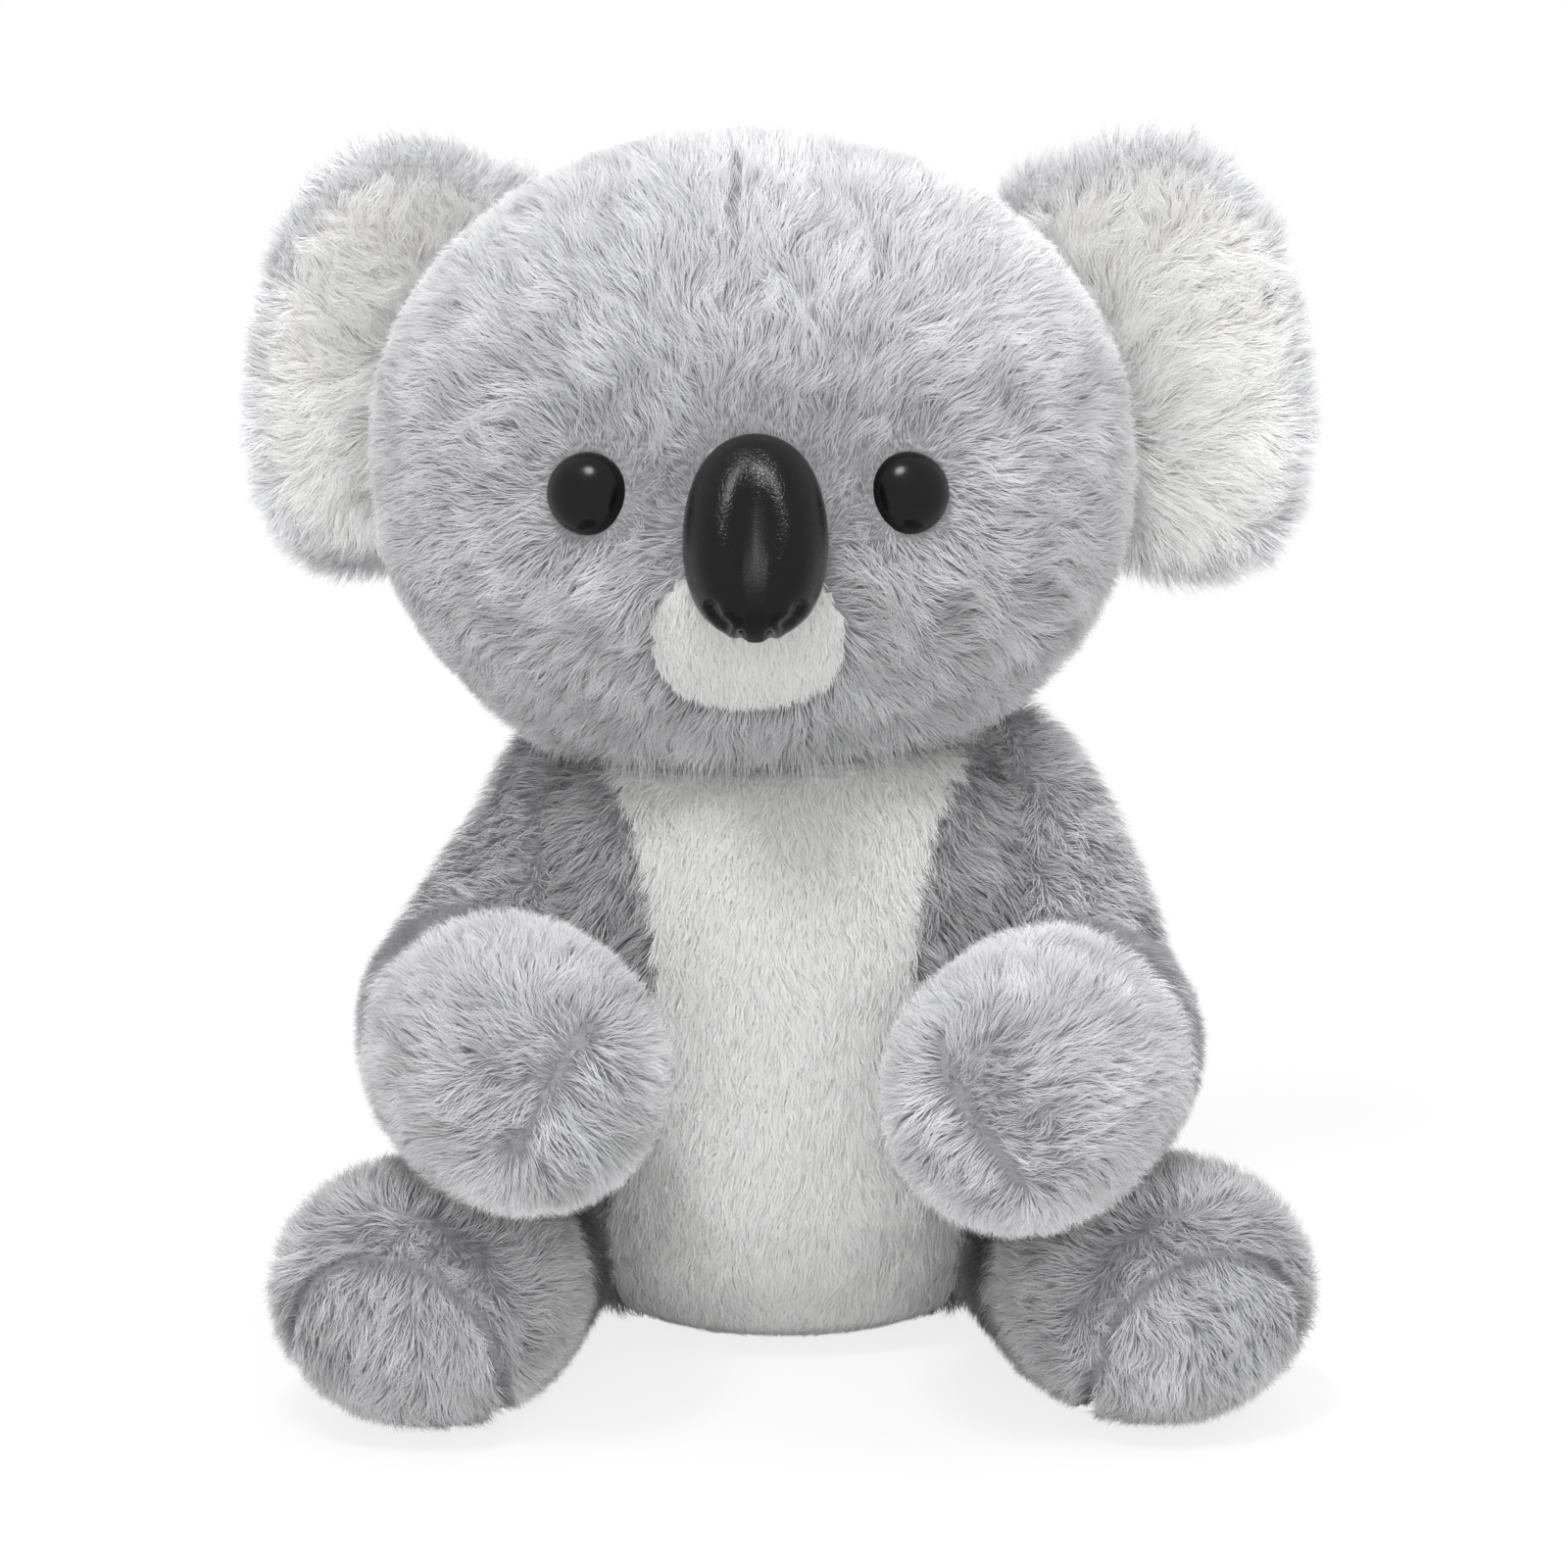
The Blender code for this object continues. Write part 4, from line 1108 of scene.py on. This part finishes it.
def pile(
    node, per_mm2, length, comb, seed, lift=(52, 26), width=0.00019, clump=0.35, swirl=0.35,
    tone=0.5, local=None, dark=None,
):
    """Plant, comb, cut, gather and tone one panel's pile.

    A hair's lower and upper half stand up by the two angles of lift, in degrees. Its tip is
    drawn to its tuft by clump, from 0 to 1. Swirl is how far the combing wanders, tone is from
    0, dark, to 1, and local and dark give the changes of length and tone over the panel: dark
    gives its painted light and shade.
    """
    dice = np.random.default_rng(seed)
    points, ups = planted(node, per_mm2, dice)
    guide = tufts(points, dice)
    count = len(points)
    seams, off = near_seam(points, node)
    swirls = swirl * (ripple(points, 0.016, seed + 1) + 0.7 * ripple(points, 0.006, seed + 2))
    jitter = dice.normal(0, 0.2, count)
    ways = along_surface(comb(points, ups), ups)
    ways = turned_about(ways, ups, swirls + jitter[guide] + jitter * 1.3)
    ways = along_surface(ways + off * seams[:, None] * 2.5, ups)

    uneven = 0.62 + 0.58 * dice.beta(2.0, 2.2, count)
    lengths = length * uneven * (1 - 0.45 * seams) * (seams < BARE)
    if local is not None:
        lengths *= local(points)
    steps = np.array((lift, *STEEPER), float)
    lifts = np.radians(steps.mean(axis=1))
    lengths, chosen = room_for(points, ups, ways, lengths, lifts, obstacles[cloths[node][0]])
    mids, tips = bent(points, ups, ways, lengths, steps[chosen])
    share = (lengths / np.maximum(lengths[guide], 1e-6)).clip(0.5, 1.5)[:, None]
    tips = gathered(points, tips, guide, share, clump)
    mids = gathered(points, mids, guide, share, clump * 0.3)

    shade = dice.random(count) * 2 - 1
    tones = tone + 0.06 * shade[guide] + 0.09 * shade
    # Hairs beside a seam are toned darker: painted shade in the parting.
    tones += 0.08 * ripple(points, 0.012, seed + 3) - 0.45 * seams
    # Painted light and shade over the panel.
    if dark is not None:
        tones -= dark(points)
    widths = width * dice.uniform(0.75, 1.15, count)
    grow_pieces(node, lengths > 0, (points, ups, mids, tips, widths, tones))


def grow_pieces(node, grown, rows):
    """The hairs that have a length, as pieces with the panel's colour, on the panel's body."""
    hairs[node] = int(grown.sum())
    pieces = max(1, math.ceil(hairs[node] / MOST_BLADES))
    order = np.flatnonzero(grown)[np.argsort(rows[0][grown][:, 1], kind="stable")]
    for k, pick in enumerate(np.array_split(order, pieces)):
        name = f"{node}_pile" + (f"_{k + 1}" if pieces > 1 else "")
        mesh = blade_mesh(name, *(row[pick] for row in rows))
        piece = add_piece(name, mesh, piles[COLOURS[node]])
        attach(piece, cloths[node][0])
    print(node, "pile", hairs[node], "hairs of", len(grown), "in", pieces, "pieces")


print("at most", MOST_BLADES, "hairs in a piece")

# %% [markdown]
# ## Planting
#
# The white panels have short, dense, fine pile, which hides the cloth. The grey is longer and
# ruffled, and the linings of the ears have the longest hairs.

# %% Planting the head and the torso
DENSITY = 4.8  # hairs per square millimetre
FINE = {"width": 0.00017, "clump": 0.28}
SHORT = {"width": 0.00014, "clump": 0.05, "swirl": 0.1}
BELLY = {"width": 0.00016, "clump": 0.1, "swirl": 0.15, "lift": (36, 12)}
FACE = {"local": face_lengths, "dark": face_painted_light_and_shade}

pile("head_cover", DENSITY, 0.0060, comb_head, 11, **FINE, **FACE)
pile("muzzle_panel", DENSITY * 3.2, 0.0022, comb_down, 21, **SHORT)
# The torso's pile is toned darker all over, as painted shade for its strips between the arms and
# the belly.
pile("torso_cover", DENSITY * 0.8, 0.0060, comb_trunk, 31, width=0.00018, tone=0.28)
pile("belly_panel", DENSITY * 1.9, 0.0042, comb_down, 41, **BELLY)
print("hairs on the head and the torso", sum(hairs.values()))

# %% Planting the limbs and the ears
ARM = {"lift": (58, 30), "dark": arm_painted_light, **FINE}
LEG = {"lift": (56, 30), "dark": leg_painted_shade, "tone": 0.42, **FINE}
BACK = {"lift": (60, 34), **FINE}
LINING = {"lift": (50, 24), "width": 0.00017}
# The toy's left arm is toned paler than its right: painted light on the side further from the key
# lamp.
ARM_TONES = {"left": 0.56, "right": 0.49}
BACK_LENGTHS = {"left": 0.0062, "right": 0.0046}
LINING_LENGTHS = {"left": 0.0125, "right": 0.0095}
SEEDS = {"left": 0, "right": 100}

for side, seed in SEEDS.items():
    comb, tone = comb_arm(side), ARM_TONES[side]
    pile("arm_cover_" + side, DENSITY, 0.0052, comb, 51 + seed, tone=tone, **ARM)
    comb = comb_leg(side)
    pile("leg_cover_" + side, DENSITY, 0.0054, comb, 61 + seed, **LEG)
    pile("sole_panel_" + side, DENSITY * 1.2, 0.0050, comb, 71 + seed, tone=0.44, **FINE)
    length, comb = BACK_LENGTHS[side], comb_ear(side)
    pile("ear_back_" + side, DENSITY * 1.1, length, comb, 81 + seed, **BACK)
    length, comb, local = LINING_LENGTHS[side], comb_lining(side), lining_lengths(side)
    pile("ear_lining_" + side, DENSITY * 1.6, length, comb, 91 + seed, local=local, **LINING)
print("hairs in all", sum(hairs.values()))

# %% [markdown]
# ## Studio
#
# The photograph has a white ground with hardly any shadow. The key lamp, above and to the left
# of the toy, shades the pile. A catch light at the same place is seen only in gloss, as the
# highlights on the nose and the eyes. A wide fill hangs over the right, a wide front lamp
# stands behind the camera, and a pale world fills the rest.
#
# The ground is white to the camera, in gloss and through clear pieces, while the pile gets
# less light from it. Near the toy the floor keeps a faint shadow.


# %% Rays that see a white ground
def sees_white(camera_rays):
    """1 for rays from the camera, in gloss and through clear pieces, and 0 for others."""
    glossy = camera_rays.other("Is Glossy Ray")
    clear = camera_rays.other("Is Transmission Ray")
    return (camera_rays + glossy + clear).between(0.0, 1.0)


print("rays", sees_white.__name__)

# %% Floor
FLOOR = 3.0  # from its middle to its edge
SHADOW_FADE = (0.10, 0.42)  # how far from the middle the shadow starts to fade and ends
SHADOW_SHARE = 0.18

square = [(-FLOOR, -FLOOR, 0), (FLOOR, -FLOOR, 0), (FLOOR, FLOOR, 0), (-FLOOR, FLOOR, 0)]
floor_mesh = bpy.data.meshes.new("studio floor")
floor_mesh.from_pydata(square, [], [(0, 1, 2, 3)])
floor_material, start, shader = new_material("studio white", Roughness=0.9)
shader.inputs["Base Color"].default_value = (0.86, 0.86, 0.86, 1)
apart = start.node("ShaderNodeVectorMath", {"operation": "LENGTH"}, {0: start}, 1)
whiteness = apart.between(*SHADOW_FADE) * SHADOW_SHARE + (1 - SHADOW_SHARE)
direct = sees_white(start.node("ShaderNodeLightPath")) * whiteness
glow = start.node("ShaderNodeEmission", None, {"Color": (1, 1, 1, 1), "Strength": 1.0})
plain = Wire(start.tree, shader.outputs[0])
mixed = start.node("ShaderNodeMixShader", None, {0: direct, 1: plain, 2: glow})
feed(start.tree.nodes["Material Output"], Surface=mixed)
floor = add_piece("studio_floor", floor_mesh, floor_material)
print("floor", FLOOR * 2, "m wide")

# %% World
WORLD_LIGHT = 0.79  # what the pile gets, where white is 1

world = bpy.data.worlds.new("studio")
bpy.context.scene.world = world
world.use_nodes = True
tree = world.node_tree
background = tree.nodes["Background"]
background.inputs["Color"].default_value = (1, 1, 1, 1)
rays = Wire(tree, tree.nodes.new("ShaderNodeLightPath").outputs[0])
feed(background, Strength=sees_white(rays) * (1 - WORLD_LIGHT) + WORLD_LIGHT)
print("world nodes", len(tree.nodes))

# %% Lamps
LAMPS_AIM = Vector((0, -0.02, 0.11))
KEY_PLACE = (-0.17, -0.62, 1.10)


def soft_lamp(name, place, size, watts, only_gloss=False):
    """A round lamp, size metres wide, that lights the toy or else is only seen in its gloss."""
    data = bpy.data.lights.new(name, "AREA")
    data.shape = "DISK"
    data.size = size
    data.energy = watts
    lamp = bpy.data.objects.new(name, data)
    lamp.location = place
    lamp.visible_glossy = only_gloss
    lamp.visible_diffuse = not only_gloss
    lamp.rotation_euler = (Vector(place) - LAMPS_AIM).to_track_quat("Z", "Y").to_euler()
    bpy.context.scene.collection.objects.link(lamp)
    print(name, watts, "W")


soft_lamp("key", KEY_PLACE, 0.24, 7.0)
soft_lamp("catch light", KEY_PLACE, 0.20, 26.0, only_gloss=True)
soft_lamp("fill", (0.40, -0.20, 1.45), 1.40, 6.0)
soft_lamp("front", (0.05, -1.70, 0.40), 1.60, 9.0)
bpy.context.scene.view_settings.view_transform = "Standard"

# %% [markdown]
# ## Sizes
#
# The pile makes the dressed scene's box a few millimetres larger than the frame's.
